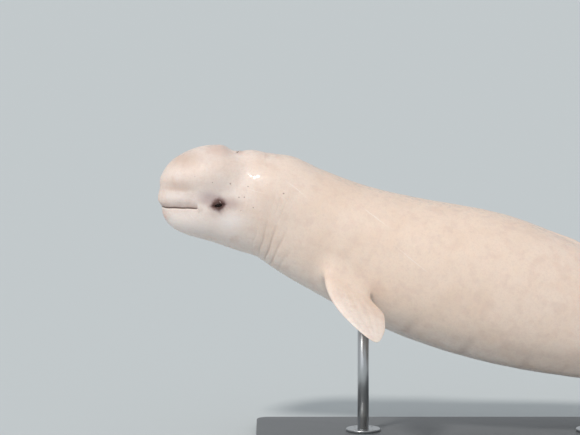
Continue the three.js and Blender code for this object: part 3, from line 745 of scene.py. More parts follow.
# Folds across the body: along, turn from the belly and its reach in degrees, lean back for each degree
# up, depth and half width.
BODY_FOLDS = [
    (0.515, 180, 40, 0.0000, 0.0014, 0.0065),
    (0.558, 176, 36, 0.0000, 0.0009, 0.0070),
    (0.486, 46, 30, 0.0004, 0.0009, 0.0080),
    (0.538, 38, 34, 0.0005, 0.0016, 0.0100),
    (0.604, 30, 36, 0.0005, 0.0022, 0.0120),
    (0.676, 26, 34, 0.0005, 0.0018, 0.0130),
    (0.752, 22, 30, 0.0005, 0.0012, 0.0150),
    (0.572, 92, 20, 0.0003, 0.0009, 0.0030),
    (0.600, 96, 26, 0.0003, 0.0010, 0.0034),
    (0.633, 98, 24, 0.0003, 0.0009, 0.0032),
    (0.672, 94, 18, 0.0003, 0.0008, 0.0036),
    (1.170, 40, 22, 0.0011, 0.0014, 0.0300),
    (1.420, 38, 22, 0.0011, 0.0016, 0.0340),
    (1.700, 38, 22, 0.0011, 0.0016, 0.0360),
    (2.000, 38, 22, 0.0011, 0.0014, 0.0360),
]
# How the folds wander: how far, and each wave's degrees round the body and its turns along it. A fold
# that is narrower than the last number wanders less.
BODY_FOLD_WAVES = [(0.006, 13, 19), (0.0025, 4.1, 31)]
FULL_WANDER_WIDTH = 0.007
BELLY_ROLL = {"along": (1.05, 2.55), "turn": 33, "width": 11, "height": 0.0075}
# Short creases on the side of the head: their ends as (along, high), depth and half width. The shortest
# is the pinhole of the ear.
HEAD_CREASES = [
    ((0.199, -0.076), (0.202, -0.092), 0.0012, 0.0030),
    ((0.202, -0.092), (0.196, -0.122), 0.0008, 0.0036),
    ((0.213, -0.094), (0.209, -0.112), 0.0004, 0.0034),
    ((0.346, -0.086), (0.336, -0.122), 0.0005, 0.0060),
    ((0.376, -0.078), (0.371, -0.112), 0.0004, 0.0055),
    ((0.4065, -0.079), (0.4075, -0.080), 0.0024, 0.0026),
    ((0.052, 0.037), (0.158, 0.028), 0.0007, 0.0100),
    ((0.238, -0.020), (0.262, -0.030), 0.0005, 0.0040),
]
HEAD_SIDES = (0.04, 0.07)
# The navel and the slit behind it on the middle of the belly: their ends along, depth and half width.
BELLY_MARKS = [(1.985, 1.995, 0.0050, 0.013), (2.420, 2.560, 0.0055, 0.010)]
BELLY_BELOW = -0.1
BACK_RIDGE = {"along": (1.93, 2.72), "height": 0.015, "width": 0.013, "knobs": 7, "knob_share": 0.1}
RIDGE_FULLNESS = 0.6
RIDGE_ABOVE = 0.05
# Soft unevenness of the flesh: its size and height.
UNEVENNESS = [(0.085, 0.0016), (0.013, 0.00028)]
# All of these fade out between these distances from the opening between the lids.
LIDS_CLEAR = (0.001, 0.009)


def in_mouth(points):
    return 1 - smooth_between(points[:, 0], MOUTH_ENDS)


def blowhole_gap(points):
    """How far behind the slit of the blowhole points lie, and 1 along its length, or 0 beyond it."""
    share = np.abs(points[:, 1]) / BLOWHOLE["half_width"]
    slit = BLOWHOLE["along"] - BLOWHOLE["sweep"] * np.minimum(share, BLOWHOLE_SWEEP_TO) ** 2
    on_slit = (1 - smooth_between(share, BLOWHOLE_FADES)) * (points[:, 2] > 0)
    return points[:, 0] - slit, on_slit


def line_gap(places, start, end):
    """The distance of places in a plane from a straight line."""
    run = np.subtract(end, start)
    share = np.clip((places - start) @ run / (run @ run), 0, 1)
    return np.linalg.norm(places - start - np.outer(share, run), axis=1)


def crease_depth(points):
    """The depth of the creases at points near the skin."""
    along, side, high = points.T
    gap = mouth_gap(points)
    depth = in_mouth(points) * MOUTH_SLIT[0] * bell(gap, MOUTH_SLIT[1])
    behind, on_slit = blowhole_gap(points)
    depth += on_slit * BLOWHOLE["depth"] * bell(behind, BLOWHOLE["slit"])
    turn = np.degrees(np.arctan2(np.abs(side), axis_high(along) - high))
    wander = sum(far * np.sin(turn / wide + along * often) for far, wide, often in BODY_FOLD_WAVES)
    for place, middle, reach, lean, deep, width in BODY_FOLDS:
        gap = along - place - lean * (turn - middle) - wander * min(1, width / FULL_WANDER_WIDTH)
        depth += deep * bell(turn - middle, reach) * bell(gap, width)
    on_side = smooth_between(np.abs(side), HEAD_SIDES)
    for start, end, deep, width in HEAD_CREASES:
        depth += on_side * deep * bell(line_gap(points[:, [0, 2]], start, end), width)
    for start, end, deep, width in BELLY_MARKS:
        depth += (high < BELLY_BELOW) * deep * bell(line_gap(points[:, :2], (start, 0), (end, 0)), width)
    return depth


def swell_height(points):
    """The height of the lips, the ridge and the rolls of fat, less the soft valley of the mouth."""
    along, side, high = points.T
    gap = mouth_gap(points)
    deep, above, below = MOUTH_VALLEY
    height = -deep * np.where(gap > 0, bell(gap, above), bell(gap, below))
    for place, thick, width in LIPS:
        height += thick * bell(gap - place, width)
    height *= in_mouth(points)
    behind, on_slit = blowhole_gap(points)
    place, thick, width = BLOWHOLE_LIP
    height += on_slit * thick * bell(np.abs(behind) - place, width)
    ridge = (along - BACK_RIDGE["along"][0]) / np.ptp(BACK_RIDGE["along"])
    rise = np.sin(math.pi * np.clip(ridge, 0, 1)) ** RIDGE_FULLNESS
    rise *= 1 + BACK_RIDGE["knob_share"] * np.cos(2 * math.pi * BACK_RIDGE["knobs"] * ridge)
    height += BACK_RIDGE["height"] * rise * bell(side, BACK_RIDGE["width"]) * (high > RIDGE_ABOVE)
    roll = (along - BELLY_ROLL["along"][0]) / np.ptp(BELLY_ROLL["along"])
    turn = np.degrees(np.arctan2(np.abs(side), axis_high(along) - high))
    along_roll = np.sin(math.pi * np.clip(roll, 0, 1))
    height += BELLY_ROLL["height"] * along_roll * bell(turn - BELLY_ROLL["turn"], BELLY_ROLL["width"])
    return height


def unevenness(points):
    height = np.zeros(len(points))
    for size, tall in UNEVENNESS:
        places = (points / size).tolist()
        height += tall * np.array([noise.noise(Vector(place)) for place in places])
    return height


def move_points(thing, points):
    """Sets the place of every point of a mesh object."""
    thing.data.vertices.foreach_set("co", points.astype(np.float32).ravel())
    thing.data.update()


whale_skin = mesh_object("whale_skin", body_points, body_faces, body_maps)
normals = np.empty(len(body_points) * 3, dtype=np.float32)
whale_skin.data.vertex_normals.foreach_get("vector", normals)
normals = normals.reshape(-1, 3)
lid_gap, _ = at_eye(body_points)
bare = smooth_between(lid_gap, LIDS_CLEAR)
height = bare * (swell_height(body_points) - crease_depth(body_points) + unevenness(body_points))
move_points(whale_skin, body_points + normals * height[:, None])

# The flippers and the flukes.
# Broad, thick paddles with a round end, their tips curled up, and a swept tail fin that is notched in
# the middle. Both are full in front and thin out to the rear edge. They run into the body with no seam.

# How full a section is in front and at the rear edge, the share of its thickness left at the tip, and
# where its rear rim starts.
FOIL_FULLNESS = (1.22, 0.67)
EDGE_SHARE = 0.15
FOIL_RIM = (0.8, 1.0)
FLIPPER = {
    "root": (0.965, 0.140, -0.158),
    "way": (0.5, 0.7, -0.51),
    "length": 0.570,
    "front": (0.066, 0.028),
    "rear": (0.060, 0.085),
    "rear_swells_from": 0.2,
    "thickness": (0.087, 0.017),
    "curl": 0.055,
    "curl_from": 0.35,
    "sweep": 0.050,
    "tip_squareness": 5,
}
# The fingers show through as low ridges: how many, their share of the thickness, where along the flipper
# they rise, and how far they turn.
FLIPPER_DIGITS = (5, 0.045, (0.3, 0.6), 4)
FLUKE = {
    "half_span": 0.490,
    "lead": (3.560, 0.365),
    "notch": 4.000,
    "trail_swell": 0.085,
    "trail_sweep": 0.020,
    "thickness": (0.062, 0.012),
    "tip_from": 0.76,
    "rise": 0.030,
    "lead_bow": 1.25,
    "trail_bow": 0.9,
}
FIN_ROUND_COUNT = 96
FLIPPER_RINGS = (109, 1.6)
HALF_FLUKE_RINGS = (74, 0.9)
FLIPPER_MAPS = {-1: (0.0, 0.3), 1: (0.33, 0.63)}
FLUKE_MAP = (0.66, 1.0)
FIN_MAP_TOP = 0.125
# The rear edges wave by this much. Each fin's waves: how often they come out to the tip, and how soon
# they start.
REAR_EDGE_WAVE = 0.0022
FLIPPER_WAVES = (23, 4)
FLUKE_WAVES = (17, 5)


def foil(front, rear, thickness, angle):
    """Places round a fin's section, along its chord and off it."""
    share = (1 - np.cos(angle)) / 2
    fullness = mix(*FOIL_FULLNESS, share)
    rim = smooth_between(share, FOIL_RIM)
    return mix(-front, rear, share), thickness / 2 * np.sin(angle) * fullness, rim, share


def edge_wave(place, waves):
    """How far the rear edge waves out at a place along a fin."""
    often, soon = waves
    return REAR_EDGE_WAVE * math.sin(often * place) * smooth(abs(place) * soon)


def fin_thickness(limits, share, tip):
    return mix(*limits, share) * mix(EDGE_SHARE, 1, tip)


def flipper_ring(share, angle, side):
    size = FLIPPER
    reach = unit(np.array(size["way"]))
    back = unit(np.array([1.0, 0, 0]) - reach * reach[0])
    down = np.cross(reach, back)
    tip = math.sqrt(max(1 - share ** size["tip_squareness"], 0))
    swelling = max((share - size["rear_swells_from"]) / (1 - size["rear_swells_from"]), 0)
    front = (size["front"][0] + size["front"][1] * math.sin(math.pi * share)) * tip
    rear = (size["rear"][0] + size["rear"][1] * math.sin(math.pi * swelling)) * tip
    thickness = fin_thickness(size["thickness"], share, tip)
    chord, height, rim, chord_share = foil(front, rear, thickness, angle)
    chord = chord + rim * tip * edge_wave(share, FLIPPER_WAVES)
    count, deep, rise, lean = FLIPPER_DIGITS
    out_there = smooth_between(share, rise)
    height = height * (1 + deep * out_there * np.cos(2 * math.pi * count * chord_share + lean * share))
    curl = size["curl"] * smooth((share - size["curl_from"]) / (1 - size["curl_from"]))
    middle = np.array(size["root"]) + reach * share * size["length"] + back * size["sweep"] * share**2
    ring = middle + np.outer(chord, back) + np.outer(height - curl, down)
    return ring * (1, side, 1)


def fluke_ring(place, angle):
    """A ring of the tail fin, from the left tip at -1 to the right tip at 1."""
    size = FLUKE
    share = min(abs(place), 1)
    lead = size["lead"][0] + size["lead"][1] * share ** size["lead_bow"]
    trail = size["notch"] + size["trail_swell"] * math.sin(math.pi * share) ** size["trail_bow"]
    trail += size["trail_sweep"] * share
    to_tip = max((share - size["tip_from"]) / (1 - size["tip_from"]), 0)
    tip = math.sqrt(1 - to_tip**2)
    half = (trail - lead) / 2 * tip
    chord, height, rim, _ = foil(half, half, fin_thickness(size["thickness"], share, tip), angle)
    chord = chord + rim * tip * edge_wave(place, FLUKE_WAVES)
    along = (lead + trail) / 2 + chord
    side = np.full(len(along), place * size["half_span"])
    return np.column_stack([along, side, height + size["rise"] * share**2])


def ringed_mesh(name, rings, map_sides):
    """A closed mesh from its rings, with a point in the middle of the first and of the last."""
    angles = len(rings[0])
    points = np.vstack(rings + [rings[0].mean(axis=0)[None], rings[-1].mean(axis=0)[None]])
    first_end, last_end = len(points) - 2, len(points) - 1
    last = len(rings) - 1
    faces = []
    maps = []

    def on_map(ring, step):
        return (mix(*map_sides, step / angles), FIN_MAP_TOP * (ring + 1) / (len(rings) + 1))

    for step in range(angles):
        after = (step + 1) % angles
        faces.append((first_end, after, step))
        maps.append((on_map(-1, step), on_map(0, step + 1), on_map(0, step)))
        for ring in range(last):
            low, high = ring * angles, (ring + 1) * angles
            faces.append((low + step, low + after, high + after, high + step))
            corners = [(ring, step), (ring, step + 1), (ring + 1, step + 1), (ring + 1, step)]
            maps.append(tuple(on_map(*corner) for corner in corners))
        faces.append((last_end, last * angles + step, last * angles + after))
        maps.append((on_map(last + 1, step), on_map(last, step), on_map(last, step + 1)))
    corner_points = [[points[face[i]] for face in faces] for i in range(3)]
    volume = np.sum(np.cross(corner_points[0], corner_points[1]) * corner_points[2])
    if volume < 0:
        faces = [face[::-1] for face in faces]
        maps = [corners[::-1] for corners in maps]
    return mesh_object(name, points, faces, maps)


fin_turns = np.arange(FIN_ROUND_COUNT) / FIN_ROUND_COUNT * 2 * math.pi
ring_count, crowding = FLIPPER_RINGS
flipper_shares = 1 - (1 - np.linspace(0, 1, ring_count + 1)[:-1]) ** crowding
ring_count, crowding = HALF_FLUKE_RINGS
half_fluke = np.sin(np.linspace(0, math.pi / 2, ring_count + 1)[:-1]) ** crowding
fluke_shares = np.concatenate([-half_fluke[:0:-1], half_fluke])
fins = [ringed_mesh("fluke", [fluke_ring(share, fin_turns) for share in fluke_shares], FLUKE_MAP)]
for side in (-1, 1):
    rings = [flipper_ring(share, fin_turns, side) for share in flipper_shares]
    fins.append(ringed_mesh("flipper", rings, FLIPPER_MAPS[side]))

# One skin.
# The fins are joined to the body and the seams are eased into a soft root. Then the spine bends the
# straight whale into its pose, and the finished skin takes its place over the stand.

ROOT_SOFTNESS = 0.042
ROOT_PASSES = 150
LEAST_SOFTNESS = 0.01
SEAM_REACH = 0.08
# The middle of the eye's solid lies this deep under the bare skin.
EYE_NODE_DEPTH = 0.011
FAR_MM = 100.0
# The dark skin and painted shade round the lids reach this much farther back and up than forward and down.
# The shift is full from this distance out.
LID_SHADE_MM = (1.5, 5.5)
LID_SHADE_FROM = 0.008
LID_CROWN_EDGE = 0.003
# The brown and painted shade over the mouth, and the painted highlight under it, end past its corner, and
# thin out by this much where the lips meet in front.
MOUTH_CORNER = (0.190, 0.215)
FRONT_LIPS = (0.010, 0.040)
FRONT_LIPS_MM = 2.2


def apply_joins(thing, others):
    """Joins other closed meshes to a closed mesh."""
    for other in others:
        step = thing.modifiers.new("join", "BOOLEAN")
        step.operation = "UNION"
        step.solver = "MANIFOLD"
        step.object = other
    shown = thing.evaluated_get(bpy.context.evaluated_depsgraph_get())
    joined = bpy.data.meshes.new_from_object(shown)
    joined.materials.clear()
    thing.modifiers.clear()
    thing.data = joined


def tree_of(thing):
    faces = [tuple(face.vertices) for face in thing.data.polygons]
    return BVHTree.FromPolygons([vertex.co for vertex in thing.data.vertices], faces)


def coordinates(mesh):
    flat = np.empty(len(mesh.vertices) * 3, dtype=np.float32)
    mesh.vertices.foreach_get("co", flat)
    return flat.reshape(-1, 3).astype(float)


def distance_to(tree, points):
    """The distance of points from a surface, or the greatest reach where it is farther."""
    found = [tree.find_nearest(point, SEAM_REACH)[3] for point in points.tolist()]
    return np.array([SEAM_REACH if gap is None else gap for gap in found])


def remove_loose(thing):
    """Drops the points that no face uses any more, which were in the gaps round the eyes."""
    mesh = thing.data
    used = np.zeros(len(mesh.vertices), dtype=bool)
    corners = np.empty(len(mesh.loops), dtype=np.int32)
    mesh.loops.foreach_get("vertex_index", corners)
    used[corners] = True
    shape = bpy.data.meshes.new(mesh.name)
    number = np.cumsum(used) - 1
    points = coordinates(mesh)[used]
    faces = [tuple(number[list(face.vertices)]) for face in mesh.polygons]
    shape.from_pydata([tuple(point) for point in points], [], faces)
    layer = shape.uv_layers.new(name="OFBake")
    flat = np.empty(len(mesh.loops) * 2, dtype=np.float32)
    mesh.uv_layers["OFBake"].uv.foreach_get("vector", flat)
    layer.uv.foreach_set("vector", flat)
    thing.data = shape


remove_loose(whale_skin)
body_tree = tree_of(whale_skin)
fin_trees = [tree_of(fin) for fin in fins]
apply_joins(whale_skin, fins)
for fin in fins:
    bpy.data.objects.remove(fin)

straight = coordinates(whale_skin.data)
to_fin = np.full(len(straight), SEAM_REACH)
for tree in fin_trees:
    to_fin = np.minimum(to_fin, distance_to(tree, straight))
near_fin = np.flatnonzero(to_fin < SEAM_REACH)
off_seam = np.full(len(straight), SEAM_REACH)
off_seam[near_fin] = np.maximum(to_fin[near_fin], distance_to(body_tree, straight[near_fin]))
softness = bell(off_seam, ROOT_SOFTNESS) * (off_seam < SEAM_REACH)

edges = np.empty(len(whale_skin.data.edges) * 2, dtype=np.int32)
whale_skin.data.edges.foreach_get("vertices", edges)
edges = edges.reshape(-1, 2)
edges = edges[(softness[edges] > LEAST_SOFTNESS).any(axis=1)]
ends = np.concatenate([edges[:, 0], edges[:, 1]])
others = np.concatenate([edges[:, 1], edges[:, 0]])
neighbour_count = np.maximum(np.bincount(ends, minlength=len(straight)), 1)
easing = np.where(softness > LEAST_SOFTNESS, softness, 0)[:, None]
for _ in range(ROOT_PASSES):
    sums = [np.bincount(ends, weights=straight[others, axis], minlength=len(straight)) for axis in range(3)]
    average = np.column_stack(sums) / neighbour_count[:, None]
    straight = straight + easing * (average - straight)

skin, out = eye_frames[-1][:2]
whale_place = np.array(middle_of("eye_left")) - bend_with_spine((skin - out * EYE_NODE_DEPTH)[None])[0]
whale_skin.data.shade_smooth()
move_points(whale_skin, bend_with_spine(straight) + whale_place)


def add_values(mesh, name, values):
    """Stores a number or a vector for each point of a mesh."""
    kind, field = ("FLOAT", "value") if values.ndim == 1 else ("FLOAT_VECTOR", "vector")
    layer = mesh.attributes.new(name, kind, "POINT")
    layer.data.foreach_set(field, values.astype(np.float32).ravel())


lid_gap, lid_turn = at_eye(straight)
folds = crease_depth(straight) * smooth_between(lid_gap, LIDS_CLEAR)
near_lids = (lid_gap > LID_CROWN_EDGE) & (lid_gap < EYE_SURROUND)
lid_folds = np.where(near_lids, lid_fold_depth(lid_gap, lid_turn), 0)
shade_shift = LID_SHADE_MM[0] * np.cos(lid_turn) + LID_SHADE_MM[1] * np.sin(lid_turn)
lid_shade = lid_gap * 1000 - smooth(lid_gap / LID_SHADE_FROM) * shade_shift
over_mouth = mouth_gap(straight)
past_mouth = FAR_MM * smooth_between(straight[:, 0], MOUTH_CORNER)
past_mouth += FRONT_LIPS_MM * (1 - smooth_between(straight[:, 0], FRONT_LIPS))
# What the skin's material reads at each point: its place in the straight whale, and its distance in
# millimetres from the lids and the mouth, and the depth of the folds there.
measures = {
    "straight": straight,
    "lid_gap_mm": np.clip(lid_shade, -FAR_MM, FAR_MM),
    "over_mouth_mm": np.where(over_mouth > 0, over_mouth * 1000, FAR_MM) + past_mouth,
    "under_mouth_mm": np.where(over_mouth > 0, FAR_MM, -over_mouth * 1000) + past_mouth,
    "fold_mm": folds * 1000,
    "lid_fold_mm": lid_folds * 1000,
}
for name, values in measures.items():
    add_values(whale_skin.data, name, values)

# The whale's skin.
# Wet, rubbery skin: cream white and warmer on the back, with small marks and scratches. Painted shade lies as
# tan in the crease under the melon, as brown with the lips' own brown above and in the mouth, in the folds,
# and with darker skin round the lids. Painted highlights lie on the upper lip, under the mouth and on a fold
# over the eye. Under it, light spreads a little in the fat.

MAP_LENGTH = 4.1
# Colours from the snout to the tail: the place along and the colour.
SKIN_ALONG = [
    (0.00, "#eddfd8"),
    (0.22, "#ecded5"),
    (0.38, "#e9dbd3"),
    (0.56, "#e8d5c7"),
    (0.95, "#ead5c4"),
    (1.60, "#ebd5c3"),
    (2.20, "#ecd8c9"),
    (2.60, "#ecdbd0"),
    (3.30, "#e9dbd2"),
    (4.00, "#e0cfc4"),
]
BELLY_COLOUR = "#efe4dc"
BELLY_HEIGHTS = (-0.20, -0.42)
# Mottling: size in metres, colour and strength, and then the part of the noise that shows.
MOTTLING = [
    (0.210, "#dfc3ad", 0.30),
    (0.055, "#dac1b3", 0.34),
    (0.018, "#d0b9b0", 0.13),
    (0.0075, "#d2b9ab", 0.18),
]
MOTTLING_SHOWS = (0.46, 0.68)
# Patches on both sides: centre and reach as (along, side, high), colour and strength. Some are painted shade:
# the tan in the crease under the melon, the grey round the eye, with darker skin there, and the brown in the
# nape folds. One is a painted lit band on the upper lip.
PIGMENT_AND_SHADING = [
    # Painted shade: tan under the melon's bulge, over the crease.
    ((0.110, 0.100, 0.046), (0.110, 0.120, 0.040), "#d3b8a8", 0.58),
    ((0.180, 0.040, 0.155), (0.170, 0.130, 0.064), "#c6ab98", 0.82),
    # Painted shade: tan deepest in the crease under the melon.
    ((0.100, 0.110, 0.022), (0.100, 0.120, 0.016), "#cbb09f", 0.55),
    # Painted light: a paler band where the upper lip faces up to the light.
    ((0.095, 0.100, -0.016), (0.100, 0.120, 0.024), "#ecdfd8", 0.60),
    ((0.025, 0.030, -0.125), (0.045, 0.060, 0.040), "#d6b3a8", 0.60),
    ((0.130, 0.080, -0.150), (0.140, 0.110, 0.075), "#f4e8e1", 0.75),
    ((0.290, 0.130, -0.165), (0.150, 0.100, 0.070), "#f3e6df", 0.65),
    ((0.290, 0.040, 0.205), (0.080, 0.100, 0.060), "#cfb2a4", 0.65),
    ((0.398, 0.000, 0.190), (0.030, 0.060, 0.060), "#b79f94", 0.60),
    # These four: darker skin and painted shade in a grey halo round the sunken eye.
    ((0.248, 0.140, -0.014), (0.072, 0.080, 0.048), "#bba5a4", 0.60),
    ((0.272, 0.140, -0.034), (0.064, 0.080, 0.046), "#b39e9b", 0.45),
    ((0.350, 0.140, -0.046), (0.092, 0.080, 0.044), "#b7a29c", 0.80),
    ((0.298, 0.140, -0.096), (0.070, 0.080, 0.036), "#c8b4ad", 0.50),
    ((0.300, 0.130, 0.040), (0.080, 0.080, 0.050), "#d9c6bc", 0.45),
    ((0.206, 0.130, -0.078), (0.024, 0.060, 0.020), "#b8a29a", 0.30),
    # These two: painted shade in the folds over the nape.
    ((0.520, 0.030, 0.165), (0.020, 0.050, 0.030), "#a98f81", 0.55),
    ((0.562, 0.020, 0.165), (0.026, 0.050, 0.030), "#c2a897", 0.40),
    ((0.370, 0.130, -0.125), (0.120, 0.080, 0.054), "#f6efec", 0.68),
    ((0.545, 0.150, -0.050), (0.050, 0.100, 0.120), "#dcc6b8", 0.45),
    ((1.810, 0.150, 0.240), (0.020, 0.080, 0.016), "#b79c8a", 0.50),
]
# Small dark specks on both sides: along, high, half size.
SPECKS = [
    (0.355, 0.052, 0.0046),
    (0.398, -0.012, 0.0042),
    (0.423, -0.011, 0.0044),
    (0.441, 0.040, 0.0040),
    (0.470, -0.060, 0.0042),
    (0.610, 0.030, 0.0044),
    (0.268, 0.060, 0.0030),
    (0.182, 0.090, 0.0028),
]
# Patches, specks and scratches fade in from this share of their reach to this one.
MARK_FADES = (1.15, 0.1)
SPECK_COLOUR = "#7d655c"
SPECK_STRENGTH = 0.85
# Pale scratches on both sides, and a painted glint over the eye: along, high, half length, half width, and
# slope down to the rear in degrees.
SCRATCHES_AND_GLINT = [
    # The first is a painted glint: light caught on a wet fold of skin over the eye.
    (0.305, -0.036, 0.008, 0.0020, 62),
    (0.165, -0.110, 0.030, 0.0016, 48),
    (0.150, -0.135, 0.022, 0.0014, 40),
    (0.135, -0.118, 0.016, 0.0012, 55),
    (0.480, 0.020, 0.050, 0.0018, 12),
    (0.660, 0.070, 0.080, 0.0020, 20),
    (1.050, 0.120, 0.110, 0.0024, 8),
    (1.300, 0.020, 0.140, 0.0024, 15),
]
SCRATCH_AND_GLINT_COLOUR = "#f6eee8"
SCRATCH_AND_GLINT_STRENGTH = 0.55
# Painted shade and light, with stains, that follow the mouth, the folds and the lids: which measure of the
# skin, in millimetres, where the stain starts and where it is full, how far its edge wanders, its colour and
# strength.
PAINTED_SHADE_AND_STAINS = [
    # These two: brown skin and painted shade above the mouth, where the upper lip turns under.
    ("over_mouth_mm", 40.0, 2.0, 7.0, "#b7a198", 0.80),
    ("over_mouth_mm", 15.0, 1.0, 4.0, "#947d74", 0.55),
    # A painted highlight along the lower lip.
    ("under_mouth_mm", 18.0, 7.0, 3.0, "#eee0d8", 0.35),
    # These two: dark lip skin and painted shade in the slit of the mouth.
    ("over_mouth_mm", 6.4, 1.6, 1.2, "#5d4944", 0.92),
    ("under_mouth_mm", 4.2, 1.6, 0.5, "#5d4944", 0.92),
    # These two: painted shade in the folds and creases, darker where they are deeper.
    ("fold_mm", 0.25, 3.0, 0.0, "#a78f84", 0.55),
    ("fold_mm", 4.5, 10.0, 0.0, "#5d4842", 0.85),
    # These five: darker skin and painted shade round the sunken eye, in the folds of the lids and into the
    # socket.
    ("lid_gap_mm", 46.0, 12.0, 18.0, "#ab9694", 0.80),
    ("lid_gap_mm", 30.0, 10.0, 12.0, "#71554f", 0.80),
    ("lid_gap_mm", 20.0, 7.0, 9.0, "#4f322c", 0.88),
    ("lid_fold_mm", 0.40, 2.00, 0.0, "#402a26", 0.45),
    ("lid_gap_mm", 3.6, 0.8, 0.5, "#35201d", 0.85),
]
# Texture of the surface: size along and high in metres, and height in millimetres. The second is fine
# upright wrinkles.
GRAIN = [
    ((0.030, 0.030), 0.70),
    ((0.0050, 0.0450), 0.40),
    ((0.0065, 0.0065), 0.30),
    ((0.0022, 0.0022), 0.10),
]
# Water lies on the skin in patches of this size: the part of the noise that they take up, and how strong
# the water's gloss is between them and in them. The skin is smoother there, too.
WET_SIZE = 0.026
WET_SHOWS = (0.50, 0.62)
WET_COAT = (0.0, 0.55)
SMOOTHER_SHOWS = (0.40, 0.64)
SKIN_ROUGHNESS = (0.50, 0.36)
# Wetter patches on both sides, where the melon catches the light: along, high, half length, half height.
WET_PATCHES = [(0.150, 0.118, 0.026, 0.010), (0.232, 0.104, 0.030, 0.012), (0.352, 0.148, 0.014, 0.008)]
WET_PATCH_COAT = 0.8
WET_PATCH_FADES = (1.0, 0.5)
# The edges of the patches, and then of the marks, wander: the noise's size and detail, and how far.
WANDERS = [(0.026, 3.0, 0.010), (0.009, 2.0, 0.006)]
# Every noise pattern has an edge at its starting point, so that point lies well away from the whale.
PATTERN_START = (5.3, 3.7, 2.9)
SOFT = {"interpolation_type": "SMOOTHSTEP"}
COLOURS = {"data_type": "RGBA"}

# Living skin under a film of water: soft and pale, with a few small, sharp glints where the water lies.
skin_material, tree, shader = new_material(
    "wet_whale_skin",
    {
        "Coat Roughness": 0.09,
        "Coat IOR": 1.35,
        "Subsurface Weight": 0.10,
        "Subsurface Radius": (0.010, 0.005, 0.003),
        "Subsurface Scale": 1.0,
        "Specular IOR Level": 0.32,
    },
)
place = add_node(tree, "Attribute", {"attribute_name": "straight"}).outputs["Vector"]
pattern_place = add_node(tree, "VectorMath", {"operation": "ADD"}, {0: place, 1: PATTERN_START}).outputs[0]
split = add_node(tree, "SeparateXYZ", {}, {0: place})
share = add_node(tree, "Math", {"operation": "DIVIDE"}, {0: split.outputs["X"], 1: MAP_LENGTH})
ramp = add_node(tree, "ValToRGB", {}, {"Fac": share.outputs[0]})
ramp.color_ramp.interpolation = "B_SPLINE"
while len(ramp.color_ramp.elements) < len(SKIN_ALONG):
    ramp.color_ramp.elements.new(0.5)
for stop, (along, code) in zip(ramp.color_ramp.elements, SKIN_ALONG):
    stop.position = along / MAP_LENGTH
    stop.color = linear_colour(code)
start, end = BELLY_HEIGHTS
cover = add_node(tree, "MapRange", SOFT, {0: split.outputs["Z"], 1: start, 2: end})
tint = {0: cover.outputs[0], 6: ramp.outputs[0], 7: linear_colour(BELLY_COLOUR)}
colour = add_node(tree, "Mix", COLOURS, tint)

start, end = MOTTLING_SHOWS
for size, code, strength in MOTTLING:
    cloud = add_node(tree, "TexNoise", {}, {"Vector": pattern_place, "Scale": 1 / size, "Detail": 3.0})
    cover = add_node(tree, "MapRange", SOFT, {0: cloud.outputs[0], 1: start, 2: end, 4: strength})
    tint = {0: cover.outputs[0], 6: colour.outputs[2], 7: linear_colour(code)}
    colour = add_node(tree, "Mix", COLOURS, tint)

to_side = add_node(tree, "Math", {"operation": "ABSOLUTE"}, {0: split.outputs["Y"]})
mirrored = {"X": split.outputs["X"], "Y": to_side.outputs[0], "Z": split.outputs["Z"]}
mirrored = add_node(tree, "CombineXYZ", {}, mirrored)
wandering = []
for size, detail, far in WANDERS:
    cloud = add_node(tree, "TexNoise", {}, {"Vector": pattern_place, "Scale": 1 / size, "Detail": detail})
    centred = {0: cloud.outputs["Color"], 1: (0.5, 0.5, 0.5)}
    centred = add_node(tree, "VectorMath", {"operation": "SUBTRACT"}, centred)
    moved = add_node(tree, "VectorMath", {"operation": "SCALE"}, {0: centred.outputs[0], "Scale": far})
    moved = add_node(tree, "VectorMath", {"operation": "ADD"}, {0: mirrored.outputs[0], 1: moved.outputs[0]})
    wandering.append((cloud, moved))
(wander, patchy), (_, ragged) = wandering


def patch_cover(tree, place, centre, reach, fades, strength, slope=0):
    """How strongly an egg-shaped patch of the skin covers each place."""
    off = add_node(tree, "VectorMath", {"operation": "SUBTRACT"}, {0: place, 1: centre})
    if slope:
        lean = {"Vector": off.outputs[0], "Angle": -math.radians(slope)}
        off = add_node(tree, "VectorRotate", {"rotation_type": "Y_AXIS"}, lean)
    shares = add_node(tree, "VectorMath", {"operation": "DIVIDE"}, {0: off.outputs[0], 1: reach})
    length = add_node(tree, "VectorMath", {"operation": "LENGTH"}, {0: shares.outputs[0]})
    fade = {0: length.outputs["Value"], 1: fades[0], 2: fades[1], 4: strength}
    return add_node(tree, "MapRange", SOFT, fade).outputs[0]


# The patches, specks, scratches and painted glint as (measured from, centre, reach, slope, colour, strength).
patches = [(patchy, centre, reach, 0, code, strength) for centre, reach, code, strength in PIGMENT_AND_SHADING]
marks = []
for along, high, half in SPECKS:
    marks.append((ragged, (along, 0, high), (half, 1, half), 0, SPECK_COLOUR, SPECK_STRENGTH))
for along, high, half_length, half_width, slope in SCRATCHES_AND_GLINT:
    reach = (half_length, 1, half_width)
    marks.append((ragged, (along, 0, high), reach, slope, SCRATCH_AND_GLINT_COLOUR, SCRATCH_AND_GLINT_STRENGTH))
